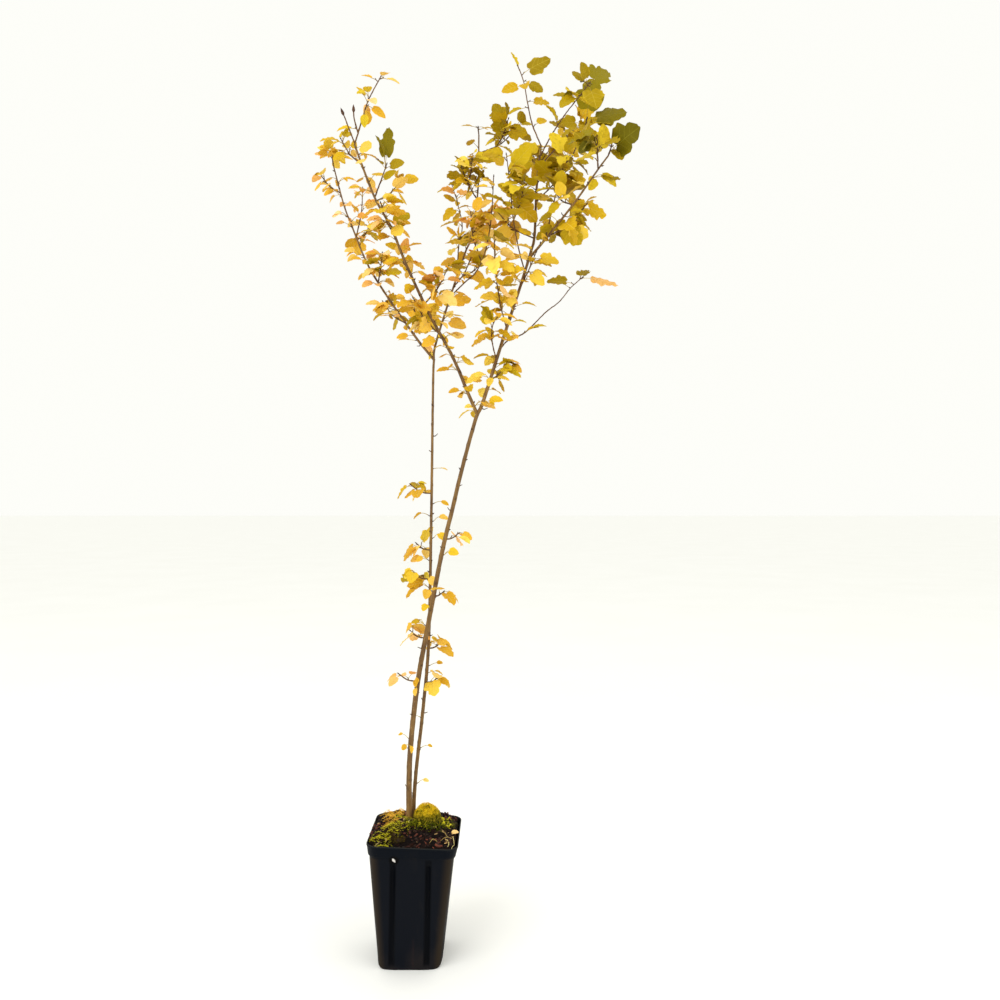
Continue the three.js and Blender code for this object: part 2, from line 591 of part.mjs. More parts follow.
// One leaf on its stalk, as corners from the stalk's root to the leaf's tip: left and right of it in
// turn.
function leafPoints(root, stalkWay, bladeWay, side, up, blade) {
  const stalk = Math.max(LEAF.stalk * blade, LEAF.least);
  const neck = root.clone().addScaledVector(stalkWay, stalk);
  const on = (across, along, rise) => neck.clone().addScaledVector(bladeWay, along * blade)
    .addScaledVector(side, across * blade).addScaledVector(up, rise * blade);
  const pair = (from, half) => [-half, half].map((reach) => from.clone().addScaledVector(side, reach));
  const edge = [
    ...pair(root, LEAF.stalkHalf),
    ...pair(neck, LEAF.stalkHalf),
    ...pair(on(0, LEAF.base, -LEAF.droop / 2), LEAF.shoulder * blade),
    ...pair(on(0, LEAF.lobeAt, -LEAF.droop), LEAF.lobe * blade),
    on(0, 1, -LEAF.droop),
  ];
  const under = on(0, LEAF.centreAt, -LEAF.droop * 0.8);
  const over = under.clone().addScaledVector(up, LEAF.ridge);
  const stalkUp = up.clone().addScaledVector(stalkWay, -stalkWay.dot(up)).normalize();
  const neckUp = stalkUp.clone().add(up).normalize();
  const rootOver = root.clone().addScaledVector(stalkUp, LEAF.ridge);
  const neckOver = neck.clone().addScaledVector(neckUp, LEAF.ridge);
  return { edge, under, over, rootOver, neckOver };
}

// The leaf as a solid: flat strips from side to side underneath, and a low ridge on top. Corners 0 to 7
// are its edge's pairs from the stalk's root on.
function leafSolid({ edge, over, rootOver, neckOver }) {
  const [TIP, RIDGE, ROOT_RIDGE, NECK_RIDGE] = [8, 9, 10, 11];
  const index = [0, 1, ROOT_RIDGE, 1, NECK_RIDGE, ROOT_RIDGE, 0, ROOT_RIDGE, NECK_RIDGE];
  for (let left = 0; left < 6; left += 2) {
    const top = left === 0 ? NECK_RIDGE : RIDGE;
    index.push(left, left + 2, left + 3, left, left + 3, left + 1);
    index.push(left, top, left + 2, left + 1, left + 3, top);
  }
  index.push(2, NECK_RIDGE, RIDGE, 3, RIDGE, NECK_RIDGE);
  index.push(6, TIP, 7, 6, RIDGE, TIP, 7, TIP, RIDGE);
  const corners = [...edge, over, rootOver, neckOver];
  return solidOf(new THREE.BufferGeometry().setFromPoints(corners).setIndex(index));
}

// Leaf number k of a mass: how it stands on its twig, as seen or else drawn from the mass's seed.
function leafOn(mass, k, attempt) {
  const seed = mass.seed * 64 + k + attempt * 0.37;
  if (mass.seen && k < mass.seen.length) return seenLeaf(mass.axes[0], mass.seen[k], attempt);
  const axis = mass.axes[mass.bareSides ? 0 : k % mass.axes.length];
  const t = mix(mass.from ?? LEAF.from, mass.to ?? LEAF.to, Math.min(1, (k + 0.6) / mass.leaves));
  const along = tangentOn(axis, t);
  const turn = k * GOLDEN_ANGLE + mass.seed + (chance(seed, 1) - 0.5) * mix(0.8, 3, attempt / MOST_TRIES);
  let out = V(Math.cos(turn), Math.sin(turn), 0);
  out.addScaledVector(along, -out.dot(along));
  if (out.length() < 0.35) out = V(-Math.sin(turn), Math.cos(turn), 0);
  out.normalize();
  const stalkWay = out.clone().addScaledVector(along, mix(0.3, 0.9, chance(seed, 2)))
    .addScaledVector(UP, 0.15).normalize();
  const drop = mix(-0.9, -0.1, chance(seed, 3)) - (mass.droop ?? 0);
  const bladeWay = stalkWay.clone().addScaledVector(UP, drop).normalize();
  const lean = V(chance(seed, 4) - 0.5, chance(seed, 5) - 0.6, 0).multiplyScalar(2.2);
  const blade = mass.blade * mix(0.75, 1.2, chance(seed, 6));
  return standLeaf(pointOn(axis, t), stalkWay, bladeWay, UP.clone().add(lean), blade);
}

function seenLeaf(axis, [t, heading, rise, blade, face], attempt) {
  const turn = THREE.MathUtils.degToRad(heading) + attempt * 0.3 * (attempt % 2 ? 1 : -1);
  const lift = THREE.MathUtils.degToRad(rise);
  const way = V(Math.cos(turn) * Math.cos(lift), Math.sin(turn) * Math.cos(lift), Math.sin(lift));
  const stalkWay = way.clone().addScaledVector(UP, 0.2).normalize();
  return standLeaf(pointOn(axis, t), stalkWay, way, V(0, -face, 1 - face), blade);
}

function standLeaf(root, stalkWay, bladeWay, facing, blade) {
  const up = facing.clone().addScaledVector(bladeWay, -bladeWay.dot(facing)).normalize();
  const side = V(0, 0, 0).crossVectors(bladeWay, up);
  return { ...leafPoints(root, stalkWay, bladeWay, side, up, blade), blade };
}

// A leaf keeps to its mass's space: nearer to its own twig than to any other, and off every limb.
function keepsToSpace(leaf, mass) {
  const blade = leaf.edge.slice(2);
  const inner = blade.map((p) => p.clone().add(leaf.under).multiplyScalar(0.5));
  const points = [...blade, ...inner, leaf.under];
  if (Object.values(limbs).some((limb) => nearest(points, limb.samples) < LIMB_ROOM)) return false;
  return blade.every((p) => {
    const own = Math.min(...mass.axes.map((axis) => nearest([p], axis.samples)));
    return masses.every((other) => other === mass ||
      other.axes.every((axis) => nearest([p], axis.samples) > own - SPACE_SLACK * leaf.blade));
  });
}

function boxesMeet(a, b) {
  return [0, 1, 2].every((k) => a.min[k] < b.max[k] + CLEAR && b.min[k] < a.max[k] + CLEAR);
}

// The leaves and twigs that stand so far, by mass, for the exact test.
const placed = [];
function touches(solid, ownMass) {
  const box = solid.boundingBox();
  return placed.some((other) => other.mass !== ownMass && boxesMeet(box, other.box) &&
    solid.minGap(other.solid, CLEAR * 1.5) < CLEAR);
}

for (const [name, solid] of Object.entries(limbSolids))
  placed.push({ mass: name, solid, box: solid.boundingBox() });

for (const mass of masses) {
  mass.wood = woodOf(mass.axes, mass.on);
  placed.push({ mass, solid: mass.wood, box: mass.wood.boundingBox() });
}

// A leaf is tried in a few ways, and left out where each of them leaves its space, touches or won't join.
for (const mass of masses) {
  mass.solid = mass.wood;
  for (let k = 0; k < mass.leaves; k++) {
    for (let attempt = 0; attempt < MOST_TRIES; attempt++) {
      const leaf = leafOn(mass, k, attempt);
      if (!keepsToSpace(leaf, mass)) continue;
      const solid = leafSolid(leaf);
      if (touches(solid, mass)) continue;
      const joined = wholePiece(mass.solid.add(solid));
      if (!joined || joined.volume() <= mass.solid.volume()) continue;
      placed.push({ mass, solid, box: solid.boundingBox() });
      mass.solid = joined;
      break;
    }
  }
}

// The assembly
const currant = new THREE.Group();
const materials = Object.fromEntries(Object.entries(COLOURS).map(([name, color]) => [name,
  new THREE.MeshStandardMaterial({ color, roughness: name === "pot" ? 0.45 : 0.85, metalness: 0 })]));

function addNode(name, solid, material) {
  const mesh = new THREE.Mesh(geometryOf(solid), materials[material]);
  mesh.name = name;
  currant.add(mesh);
}

const soil = makeSoil();
addNode("pot", makePot(), "pot");
addNode("soil", soil, "soil");

// Moss keeps a clear gap over the soil and round the stems.
const stemShells = limbShells.main_stem.add(limbShells.second_stem);
const raisedSoil = makeSoil(SHELL);
const cushion = mossBall(19, 8, 166, 17.5, 16, 21, 5);
addNode("moss_cushion", wholePiece(cushion.subtract(raisedSoil).subtract(stemShells)), "moss");
const MAT_LUMPS = [[-34, -30, 155, 13, 15, 9], [-20, -18, 160, 15, 15, 8], [-14, -34, 156, 14, 12, 9],
  [-22, 2, 163, 12, 12, 7]];
const mat = wasm.Manifold.union(MAT_LUMPS.map((lump, n) => mossBall(...lump, 20 + n)));
const mouthHalf = rimHalfAt(SOIL.top - 4) - POT.wall - SOIL.gap;
const mouthRoom = loft([SOIL.top, GROUND + 20].map((z) =>
  squareRing(mouthHalf, z, { corner: POT.corner - POT.wall, plain: true })));
addNode("moss_mat", wholePiece(mat.subtract(raisedSoil).subtract(stemShells).intersect(mouthRoom)), "moss");

for (const [name, solid] of Object.entries(limbSolids)) addNode(name, solid, "bark");
for (const mass of masses)
  addNode(mass.name, wholePiece(mass.solid, TIDY) ?? mass.solid, mass.tone);

export default currant;
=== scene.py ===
"""A potted alpine currant in autumn leaf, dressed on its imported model: plant, moss, soil and pot."""
import math

import bmesh
import bpy
import numpy as np
from mathutils import Matrix, Vector, noise
from mathutils.bvhtree import BVHTree


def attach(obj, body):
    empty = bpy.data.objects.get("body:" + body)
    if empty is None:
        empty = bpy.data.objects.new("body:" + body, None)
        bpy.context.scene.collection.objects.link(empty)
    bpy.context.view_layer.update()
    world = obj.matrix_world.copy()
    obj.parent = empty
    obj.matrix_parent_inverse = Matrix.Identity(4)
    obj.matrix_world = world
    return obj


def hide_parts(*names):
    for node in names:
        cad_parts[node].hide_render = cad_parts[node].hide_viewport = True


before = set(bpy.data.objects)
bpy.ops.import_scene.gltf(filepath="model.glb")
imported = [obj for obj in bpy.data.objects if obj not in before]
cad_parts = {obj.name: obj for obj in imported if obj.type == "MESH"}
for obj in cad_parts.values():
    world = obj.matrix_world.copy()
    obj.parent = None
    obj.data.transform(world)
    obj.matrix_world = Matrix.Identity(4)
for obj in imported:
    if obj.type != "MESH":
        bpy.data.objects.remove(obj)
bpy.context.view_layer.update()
MM = 0.001

# All sizes below are in millimetres. The camera stands level, in front of the pot and to its right.
CAMERA_AT = (112, -1074, 577.6)
FOCUS_SHARE = 0.843
SENSOR = 36.0

# The stems and boughs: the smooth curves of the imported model.
MAIN_POINTS = [
    (-5, 12, 168), (-5, 11, 217), (-3, 9, 260), (3, 5, 316), (9, 2, 358), (18, -3, 405), (38, -9, 508),
    (53, -12, 570), (63, -13, 612), (81, -15, 678), (91, -14, 702), (116, -11, 781), (138, -7, 849),
    (151, -4, 892), (156, 0, 915), (159, 10, 978), (165, 20, 1038),
]
SECOND_POINTS = [
    (-1, 21, 168), (3, 22, 226), (12, 24, 308), (19, 26, 395), (22, 29, 549), (24, 33, 722),
    (25, 34, 759), (27, 37, 782), (46, 47, 848), (65, 58, 909), (74, 64, 935), (82, 75, 1001),
    (83, 82, 1078),
]
LEFT_POINTS = [
    (83, -15, 686), (70, -18, 716), (53, -22, 756), (24, -32, 809), (-3, -45, 866), (-19, -55, 906),
    (-39, -63, 942), (-61, -71, 1000),
]
RIGHT_POINTS = [(147, -5, 882), (166, -22, 900), (200, -56, 934), (228, -84, 967), (238, -94, 978)]
OUTER_LEFT_POINTS = [
    (25, 34, 762), (-1, 42, 795), (-46, 62, 861), (-70, 74, 902), (-92, 86, 955), (-104, 92, 986),
    (-119, 98, 1040),
]
MAIN_RADII = (3.7, 1.35)
SECOND_RADII = (2.5, 0.95)
LEFT_RADII = (2.2, 1.2)
RIGHT_RADII = (1.7, 0.95)
OUTER_LEFT_RADII = (1.7, 0.9)
LEADER_FORK = 682
UPRIGHT_FORK = 894
INNER_FORK = 760
GROUND = 168
FLARE_EXTRA = 1.3
FLARE_FADE = 9
TWIG_RADII = (0.95, 0.6)

# The source's rule for leafy twigs.
GOLDEN_ANGLE = 2.39996
STALK_SHARE = 0.42
LEAST_STALK = 9
LEAF_FROM = 0.2
LEAF_TO = 0.97
LEAF_LEAN = 2.2
LEAST_OUT = 0.35
SEED_STEP = 64
TRY_STEP = 0.37
TWIG_LIFT = 0.55
LEAST_RISE = 0.35
RISE_SPREAD = 0.5
FORK_AT = 0.4
FORK_TURN = 1.1
FORK_LENGTH = 0.6
LIMB_ROOM = 4.5
TWIG_ROOM = 5
ROOT_LENGTH = 12
SAMPLE_STEP = 4
SPACE_SLACK = 0.35
SPACE_SPOTS = [(0, 0), (0.36, 0.05), (-0.36, 0.05), (0.5, 0.5), (-0.5, 0.5), (0, 1)]
SPACE_CENTRE = 0.42
MOST_TRIES = 5

# Shoots whose course shows plainly. seen: the leaves that show plainly, each as the share of the shoot
# it grows at, its heading and rise in degrees, its blade's length, and how far it faces the front.
# shown: how many of its leaves this script keeps. wood_to: the share of the shoot where its wood ends.
SHOOTS = [
    {"name": "left_bough_tip", "on": "left_bough", "tone": "orange", "leaves": 10, "blade": 16,
     "seed": 11, "bare_sides": True, "shown": 6,
     "seen": [(0.97, 0, -10, 16, 0.4), (0.93, 180, 20, 13, 0.4), (0.55, -20, -35, 19, 0.9),
              (0.2, 175, 0, 17, 0.5)],
     "points": [(-61, -71, 1000), (-53, -66, 1032), (-46, -60, 1059), (-33, -52, 1090)],
     "side": [[(-61, -71, 1002), (-67, -84, 1018), (-75, -96, 1038)],
              [(-57, -69, 1014), (-60, -80, 1028), (-60, -86, 1043)]]},
    {"name": "left_bough_green_twig", "on": "left_bough", "tone": "olive", "leaves": 5, "blade": 22,
     "seed": 12, "shown": 3,
     "seen": [(0.9, 70, 80, 39, 0.5), (0.85, 0, 5, 19, 0.9), (0.4, 0, 25, 17, 0.95)],
     "points": [(-38, -63, 941), (-33, -52, 963), (-27, -42, 988)]},
    {"name": "outer_left_tip", "on": "outer_left_bough", "tone": "orange", "leaves": 8, "blade": 17,
     "seed": 13, "seen": [(0.95, 185, 5, 16, 0.5), (0.6, 20, 10, 20, 0.5)],
     "points": [(-119, 98, 1040), (-121, 100, 1050), (-122, 102, 1060)]},
    {"name": "outer_left_thin_twig", "on": "outer_left_bough", "tone": "orange", "leaves": 6,
     "blade": 17, "seed": 14, "points": [(-85, 82, 938), (-80, 95, 978), (-80, 103, 1012)]},
    {"name": "inner_bough_tip", "on": "inner_bough", "tone": "gold", "leaves": 6, "blade": 16,
     "seed": 115, "shown": 1, "wood_to": 0.4, "seen": [(0.4, 185, 5, 15, 0.3)],
     "points": [(83, 82, 1078), (82, 83, 1090), (83, 84, 1102)]},
    {"name": "inner_back_twig", "on": "inner_bough", "tone": "gold", "leaves": 9, "blade": 20,
     "seed": 216,
     "points": [(55, 53, 886), (56, 70, 922), (60, 86, 955), (53, 100, 990), (45, 110, 1019)]},
    {"name": "inner_front_twig", "on": "inner_bough", "tone": "gold", "leaves": 18, "blade": 22,
     "seed": 117,
     "points": [(46, 47, 848), (64, 34, 862), (82, 16, 874), (94, 2, 898), (101, -6, 936),
                (104, -12, 984)], "side": [[(88, 9, 884), (78, 0, 912), (75, -6, 940)]]},
    {"name": "leader_long_twig", "on": "leader", "tone": "olive", "leaves": 5, "blade": 24, "seed": 18,
     "from": 0.8, "shown": 4,
     "seen": [(0.98, -5, -10, 36, 0.35), (0.9, 178, 8, 26, 0.5), (0.97, 60, 40, 22, 0.3),
              (0.25, 10, 25, 15, 0.3)],
     "points": [(112, -11, 767), (122, -4, 780), (144, 10, 793), (171, 26, 822), (190, 38, 839),
                (206, 48, 860), (222, 57, 876)]},
    {"name": "leader_front_twig", "on": "leader", "tone": "gold", "leaves": 11, "blade": 24, "seed": 19,
     "points": [(121, -10, 792), (114, -26, 814), (109, -42, 838), (106, -56, 864), (105, -68, 892)]},
    {"name": "leader_low_twig", "on": "leader", "tone": "gold", "leaves": 6, "blade": 19, "seed": 20,
     "points": [(107, -12, 755), (102, -26, 776), (103, -38, 792), (110, -50, 802)]},
    {"name": "leader_right_twig", "on": "leader", "tone": "gold", "leaves": 7, "blade": 20, "seed": 321,
     "points": [(136, -8, 843), (147, -26, 862), (156, -42, 880)]},
    {"name": "leader_left_twig", "on": "leader", "tone": "olive", "leaves": 15, "blade": 24, "seed": 27,
     "points": [(143, -6, 868), (134, -14, 900), (128, -20, 935), (124, -24, 975), (120, -26, 1006)],
     "side": [[(129, -19, 928), (138, -26, 950), (142, -30, 972)]]},
    {"name": "upright_tip", "on": "upright_bough", "tone": "olive", "leaves": 6, "blade": 21,
     "seed": 22, "wood_to": 0.84,
     "seen": [(0.74, -15, 24, 30, 0.8), (0.62, 188, -15, 22, 0.8), (0.68, -10, -30, 20, 0.7),
              (0.46, 0, -5, 20, 0.6), (0.4, 185, -20, 19, 0.4), (0.2, 20, 35, 15, 0.7)],
     "points": [(165, 20, 1038), (154, 26, 1068), (148, 31, 1099), (143, 36, 1129), (134, 40, 1155),
                (128, 43, 1171)]},
    {"name": "upright_right_twig", "on": "upright_bough", "tone": "green", "leaves": 8, "blade": 26,
     "seed": 23,
     "seen": [(0.98, 35, 40, 33, 0.9), (0.97, 250, 35, 20, 0.8), (0.84, 215, -35, 26, 0.6),
              (0.42, 180, 70, 20, 0), (0.98, -60, -62, 27, 0.5)],
     "points": [(163, 16, 1020), (178, 6, 1045), (195, -8, 1066), (210, -22, 1080), (222, -32, 1092)]},
    {"name": "upright_back_twig", "on": "upright_bough", "tone": "olive", "leaves": 9, "blade": 25,
     "seed": 324, "seen": [(0.97, 15, -62, 30, 0.8), (0.97, 195, -5, 25, 0.8)],
     "points": [(162, 14, 1004), (173, 28, 1024), (191, 43, 1048), (210, 58, 1072), (226, 68, 1088)]},
    {"name": "right_bough_tip", "on": "right_bough", "tone": "green", "leaves": 5, "blade": 24,
     "seed": 25, "seen": [(0.05, -58, 12, 36, 1), (0.5, 180, 20, 29, 0.8), (0.55, -60, -50, 20, 0.7)],
     "points": [(238, -94, 978), (241, -97, 987), (242, -99, 996)]},
    {"name": "right_inner_twig", "on": "right_bough", "tone": "olive", "leaves": 11, "blade": 27,
     "seed": 26,
     "seen": [(0.97, 0, 80, 44, 0.9), (0.97, -15, 10, 38, 0.6), (0.5, 60, 68, 30, 0.9),
              (0.64, -30, -8, 18, 0.6), (0.4, -20, 15, 27, 0.7)],
     "points": [(168, -24, 902), (173, -18, 922), (179, -10, 950), (188, 0, 982), (199, 8, 1004),
                (208, 14, 1028), (217, 14, 1045), (224, 12, 1068)]},
]

# Shorter twigs, set out along a limb by rule, from its lowest to its highest.
TWIG_RUNS = [
    {"on": "left_bough", "from": 0.3, "to": 0.93, "first": 200, "length": (58, 38), "leaves": (8, 6),
     "blade": (21, 18), "tones": ["orange", "orange", "gold"], "seeds": [40, 41, 42, 43, 44, 45]},
    {"on": "outer_left_bough", "from": 0.2, "to": 0.88, "first": 150, "length": (50, 36),
     "leaves": (9, 6), "blade": (20, 17), "tones": ["orange", "orange", "orange"],
     "seeds": [150, 51, 52, 153]},
    {"on": "inner_bough", "from": 0.12, "to": 0.92, "first": 170, "length": (48, 62), "leaves": (8, 13),
     "blade": (20, 22), "tones": ["orange", "gold", "olive"], "seeds": [60, 61, 62, 63, 64],
     "forked": True},
    {"on": "leader", "from": 0.22, "to": 0.22, "first": 20, "length": (30, 30), "leaves": (6, 6),
     "blade": (18, 18), "tones": ["gold"], "seeds": [70]},
    {"on": "upright_bough", "from": 0.12, "to": 0.8, "first": 190, "length": (66, 56),
     "leaves": (13, 12), "blade": (24, 26), "tones": ["gold", "olive", "olive"], "seeds": [80, 81, 82],
     "forked": True},
    {"on": "right_bough", "from": 0.25, "to": 0.88, "first": 345, "length": (56, 40), "leaves": (9, 8),
     "blade": (25, 27), "tones": ["gold", "olive", "green"], "seeds": [90, 91, 92]},
]

# Small tufts low on the stems. height: above the pot's foot. heading: in degrees from +X. Their leaves
# stand nearer to the photo than the source's, flatter and with more of a droop.
TUFTS = [
    {"on": "main_stem", "height": 346, "heading": 185, "length": 26, "leaves": 2, "seed": 120},
    {"on": "main_stem", "height": 402, "heading": 165, "length": 22, "leaves": 3, "seed": 121},
    {"on": "main_stem", "height": 456, "heading": 330, "length": 16, "leaves": 3, "seed": 522},
    {"on": "main_stem", "height": 528, "heading": 10, "length": 18, "leaves": 3, "seed": 223},
    {"on": "second_stem", "height": 340, "heading": 350, "length": 18, "leaves": 3, "seed": 124},
    {"on": "second_stem", "height": 384, "heading": 15, "length": 18, "leaves": 3, "seed": 125},
    {"on": "second_stem", "height": 474, "heading": 195, "length": 24, "leaves": 3, "seed": 126},
    {"on": "second_stem", "height": 512, "heading": 160, "length": 22, "leaves": 4, "seed": 127},
    {"on": "second_stem", "height": 586, "heading": 200, "length": 30, "leaves": 4, "seed": 128},
]
TUFT_BLADE = 21
TUFT_RISE = 0.15
TUFT_DROOP = 0.22
TUFT_LEAN = 1.4
TUFT_TONE = "orange"

UP = np.array([0.0, 0.0, 1.0])


def mix(a, b, t):
    return a + (b - a) * t


def unit(v):
    return v / np.linalg.norm(v)


def way(heading, rise):
    """The direction with a heading from +X and a rise, both in radians."""
    flat = math.cos(rise)
    return np.array([math.cos(heading) * flat, math.sin(heading) * flat, math.sin(rise)])


def chance(seed, draw):
    """The same number from 0 to 1 each time for one seed and draw, as in the source."""
    wave = math.sin(seed * 12.9898 + draw * 78.233) * 43758.5453
    return wave - math.floor(wave)


# The axes of limbs and twigs

class Axis:
    """A smooth curve through points, measured along its length, with its radii at both ends. It may be
    a stretch of a longer curve, from a start to an end as shares of that."""

    DIVISIONS = 200

    def __init__(self, points, radii, start=0.0, end=1.0):
        self.points = np.array(points, float)
        self.radii = radii
        self.start = start
        self.end = end
        self.flared = False
        self.steps = np.linspace(0, 1, self.DIVISIONS + 1)
        places = np.array([self.at_step(t) for t in self.steps])
        gaps = np.linalg.norm(np.diff(places, axis=0), axis=1)
        self.measured = np.concatenate([[0], np.cumsum(gaps)])
        self.length = self.measured[-1] * (end - start)

    def at_step(self, t):
        """The point at t of the spline itself, whose spans all count the same."""
        last = len(self.points) - 1
        n = min(int(t * last), last - 1)
        w = t * last - n
        p = self.points
        before = p[n - 1] if n > 0 else 2 * p[0] - p[1]
        after = p[n + 2] if n + 2 <= last else 2 * p[last] - p[last - 1]
        t0 = (p[n + 1] - before) / 2
        t1 = (after - p[n]) / 2
        square = 3 * (p[n + 1] - p[n]) - 2 * t0 - t1
        cube = 2 * (p[n] - p[n + 1]) + t0 + t1
        return p[n] + w * (t0 + w * (square + w * cube))

    def whole(self, u):
        """The point at a share of the whole curve's length."""
        wanted = u * self.measured[-1]
        return self.at_step(float(np.interp(wanted, self.measured, self.steps)))

    def point(self, t):
        return self.whole(mix(self.start, self.end, t))

    def tangent(self, t):
        u = mix(self.start, self.end, t)
        return unit(self.whole(min(1, u + 1e-4)) - self.whole(max(0, u - 1e-4)))

    def radius(self, t):
        base = mix(*self.radii, mix(self.start, self.end, t))
        if self.flared:
            base += FLARE_EXTRA * math.exp((GROUND - self.point(t)[2]) / FLARE_FADE)
        return base

    def share_at_height(self, z):
        """The share of the whole curve at which it reaches a height."""
        low, high = 0.0, 1.0
        for _ in range(30):
            middle = (low + high) / 2
            if self.whole(middle)[2] < z:
                low = middle
            else:
                high = middle
        return low

    def samples(self, skip=0):
        """Points a few millimetres apart along the axis, without those nearer its foot than skip."""
        count = max(2, math.ceil(self.length / SAMPLE_STEP))
        shares = [n / count for n in range(count + 1)]
        return np.array([self.point(t) for t in shares if t * self.length >= skip])


def stretch(points, radii, low, high):
    """The stretch of a long axis between two heights, as a limb of its own."""
    axis = Axis(points, radii)
    start = 0.0 if low is None else axis.share_at_height(low)
    end = 1.0 if high is None else axis.share_at_height(high)
    part = Axis(points, radii, start, end)
    part.flared = low is None
    return part


LIMBS = {
    "main_stem": stretch(MAIN_POINTS, MAIN_RADII, None, LEADER_FORK),
    "second_stem": stretch(SECOND_POINTS, SECOND_RADII, None, INNER_FORK),
    "leader": stretch(MAIN_POINTS, MAIN_RADII, LEADER_FORK, UPRIGHT_FORK),
    "upright_bough": stretch(MAIN_POINTS, MAIN_RADII, UPRIGHT_FORK, None),
    "inner_bough": stretch(SECOND_POINTS, SECOND_RADII, INNER_FORK, None),
    "left_bough": Axis(LEFT_POINTS, LEFT_RADII),
    "right_bough": Axis(RIGHT_POINTS, RIGHT_RADII),
    "outer_left_bough": Axis(OUTER_LEFT_POINTS, OUTER_LEFT_RADII),
}
LIMB_SAMPLES = np.vstack([limb.samples() for limb in LIMBS.values()])


def share_at(limb, height):
    """The share of a limb at which it reaches a height."""
    return (limb.share_at_height(height) - limb.start) / (limb.end - limb.start)


def nearest(points, others):
    """Each point's distance from the nearest of the others."""
    return np.linalg.norm(points[:, None, :] - others[None, :, :], axis=2).min(axis=1)


# The masses: each has its twigs' axes and how its leaves grow.

MASSES = []


def add_mass(spec, axes):
    MASSES.append({**spec, "axes": axes, "samples": np.vstack([axis.samples() for axis in axes])})


def twig_from(limb, at, heading, rise, length):
    """A twig that leaves a limb at a share of it, heads out and then turns upwards."""
    foot = limb.point(at)
    out = way(heading, rise)
    middle = foot + out * length * 0.5
    end = middle + unit(out + UP * TWIG_LIFT) * length * 0.5
    return Axis([foot, middle, end], TWIG_RADII)


def has_room(axis):
    """Whether a twig, past its root, keeps off the limbs and the twigs that stand already."""
    mine = axis.samples(ROOT_LENGTH)
    if nearest(mine, LIMB_SAMPLES).min() <= LIMB_ROOM:
        return False
    return all(nearest(mine, mass["samples"]).min() > TWIG_ROOM for mass in MASSES)


def add_run(run):
    """The twigs of a run, each with a fork where it has room for one."""
    last = max(1, len(run["seeds"]) - 1)
    tones = run["tones"]
    for n, seed in enumerate(run["seeds"]):
        share = n / last
        at = mix(run["from"], run["to"], share)
        rise = LEAST_RISE + RISE_SPREAD * chance(seed, 1)
        length = mix(*run["length"], share) * mix(0.85, 1.15, chance(seed, 2))
        heading = math.radians(run["first"]) + n * GOLDEN_ANGLE
        axis = twig_from(LIMBS[run["on"]], at, heading, rise, length)
        axes = [axis]
        if run.get("forked"):
            turn = FORK_TURN if n % 2 else -FORK_TURN
            fork = twig_from(axis, FORK_AT, heading + turn, rise, length * FORK_LENGTH)
            if has_room(fork):
                axes.append(fork)
        spec = {
            "name": f"{run['on']}_twig_{n + 1}",
            "on": run["on"],
            "seed": seed,
            "leaves": int(mix(*run["leaves"], share) + 0.5),
            "blade": mix(*run["blade"], share),
            "tone": tones[min(len(tones) - 1, int(share * len(tones)))],
        }
        add_mass(spec, axes)


def add_tuft(tuft, number):
    limb = LIMBS[tuft["on"]]
    heading = math.radians(tuft["heading"])
    axis = twig_from(limb, share_at(limb, tuft["height"]), heading, TUFT_RISE, tuft["length"])
    name = f"{tuft['on']}_tuft_{number}"
    look = {"blade": TUFT_BLADE, "tone": TUFT_TONE, "droop": TUFT_DROOP, "lean": TUFT_LEAN}
    add_mass({**tuft, **look, "name": name}, [axis])


def set_out_masses():
    for shoot in SHOOTS:
        courses = [shoot["points"], *shoot.get("side", [])]
        add_mass(shoot, [Axis(points, TWIG_RADII) for points in courses])
    for run in TWIG_RUNS:
        add_run(run)
    for n, tuft in enumerate(TUFTS):
        add_tuft(tuft, n + 1)


set_out_masses()


# The leaves, by the source's rule: each stands on its twig as seen, or else drawn from its mass's seed.

def stand_leaf(root, stalk_way, blade_way, facing, blade):
    """A leaf on its stalk, with its upper face turned as far towards facing as its blade allows."""
    up = unit(facing - blade_way * blade_way.dot(facing))
    stalk = max(STALK_SHARE * blade, LEAST_STALK)
    return {
        "root": root,
        "neck": root + stalk_way * stalk,
        "stalk_way": stalk_way,
        "blade_way": blade_way,
        "up": up,
        "side": np.cross(blade_way, up),
        "blade": blade,
    }


def seen_leaf(axis, t, heading, rise, blade, face, attempt=0):
    """A leaf as seen, turned a little further each time that it finds no room."""
    turn = math.radians(heading) + attempt * 0.3 * (1 if attempt % 2 else -1)
    blade_way = way(turn, math.radians(rise))
    facing = np.array([0, -face, 1 - face])
    return stand_leaf(axis.point(t), unit(blade_way + UP * 0.2), blade_way, facing, blade)


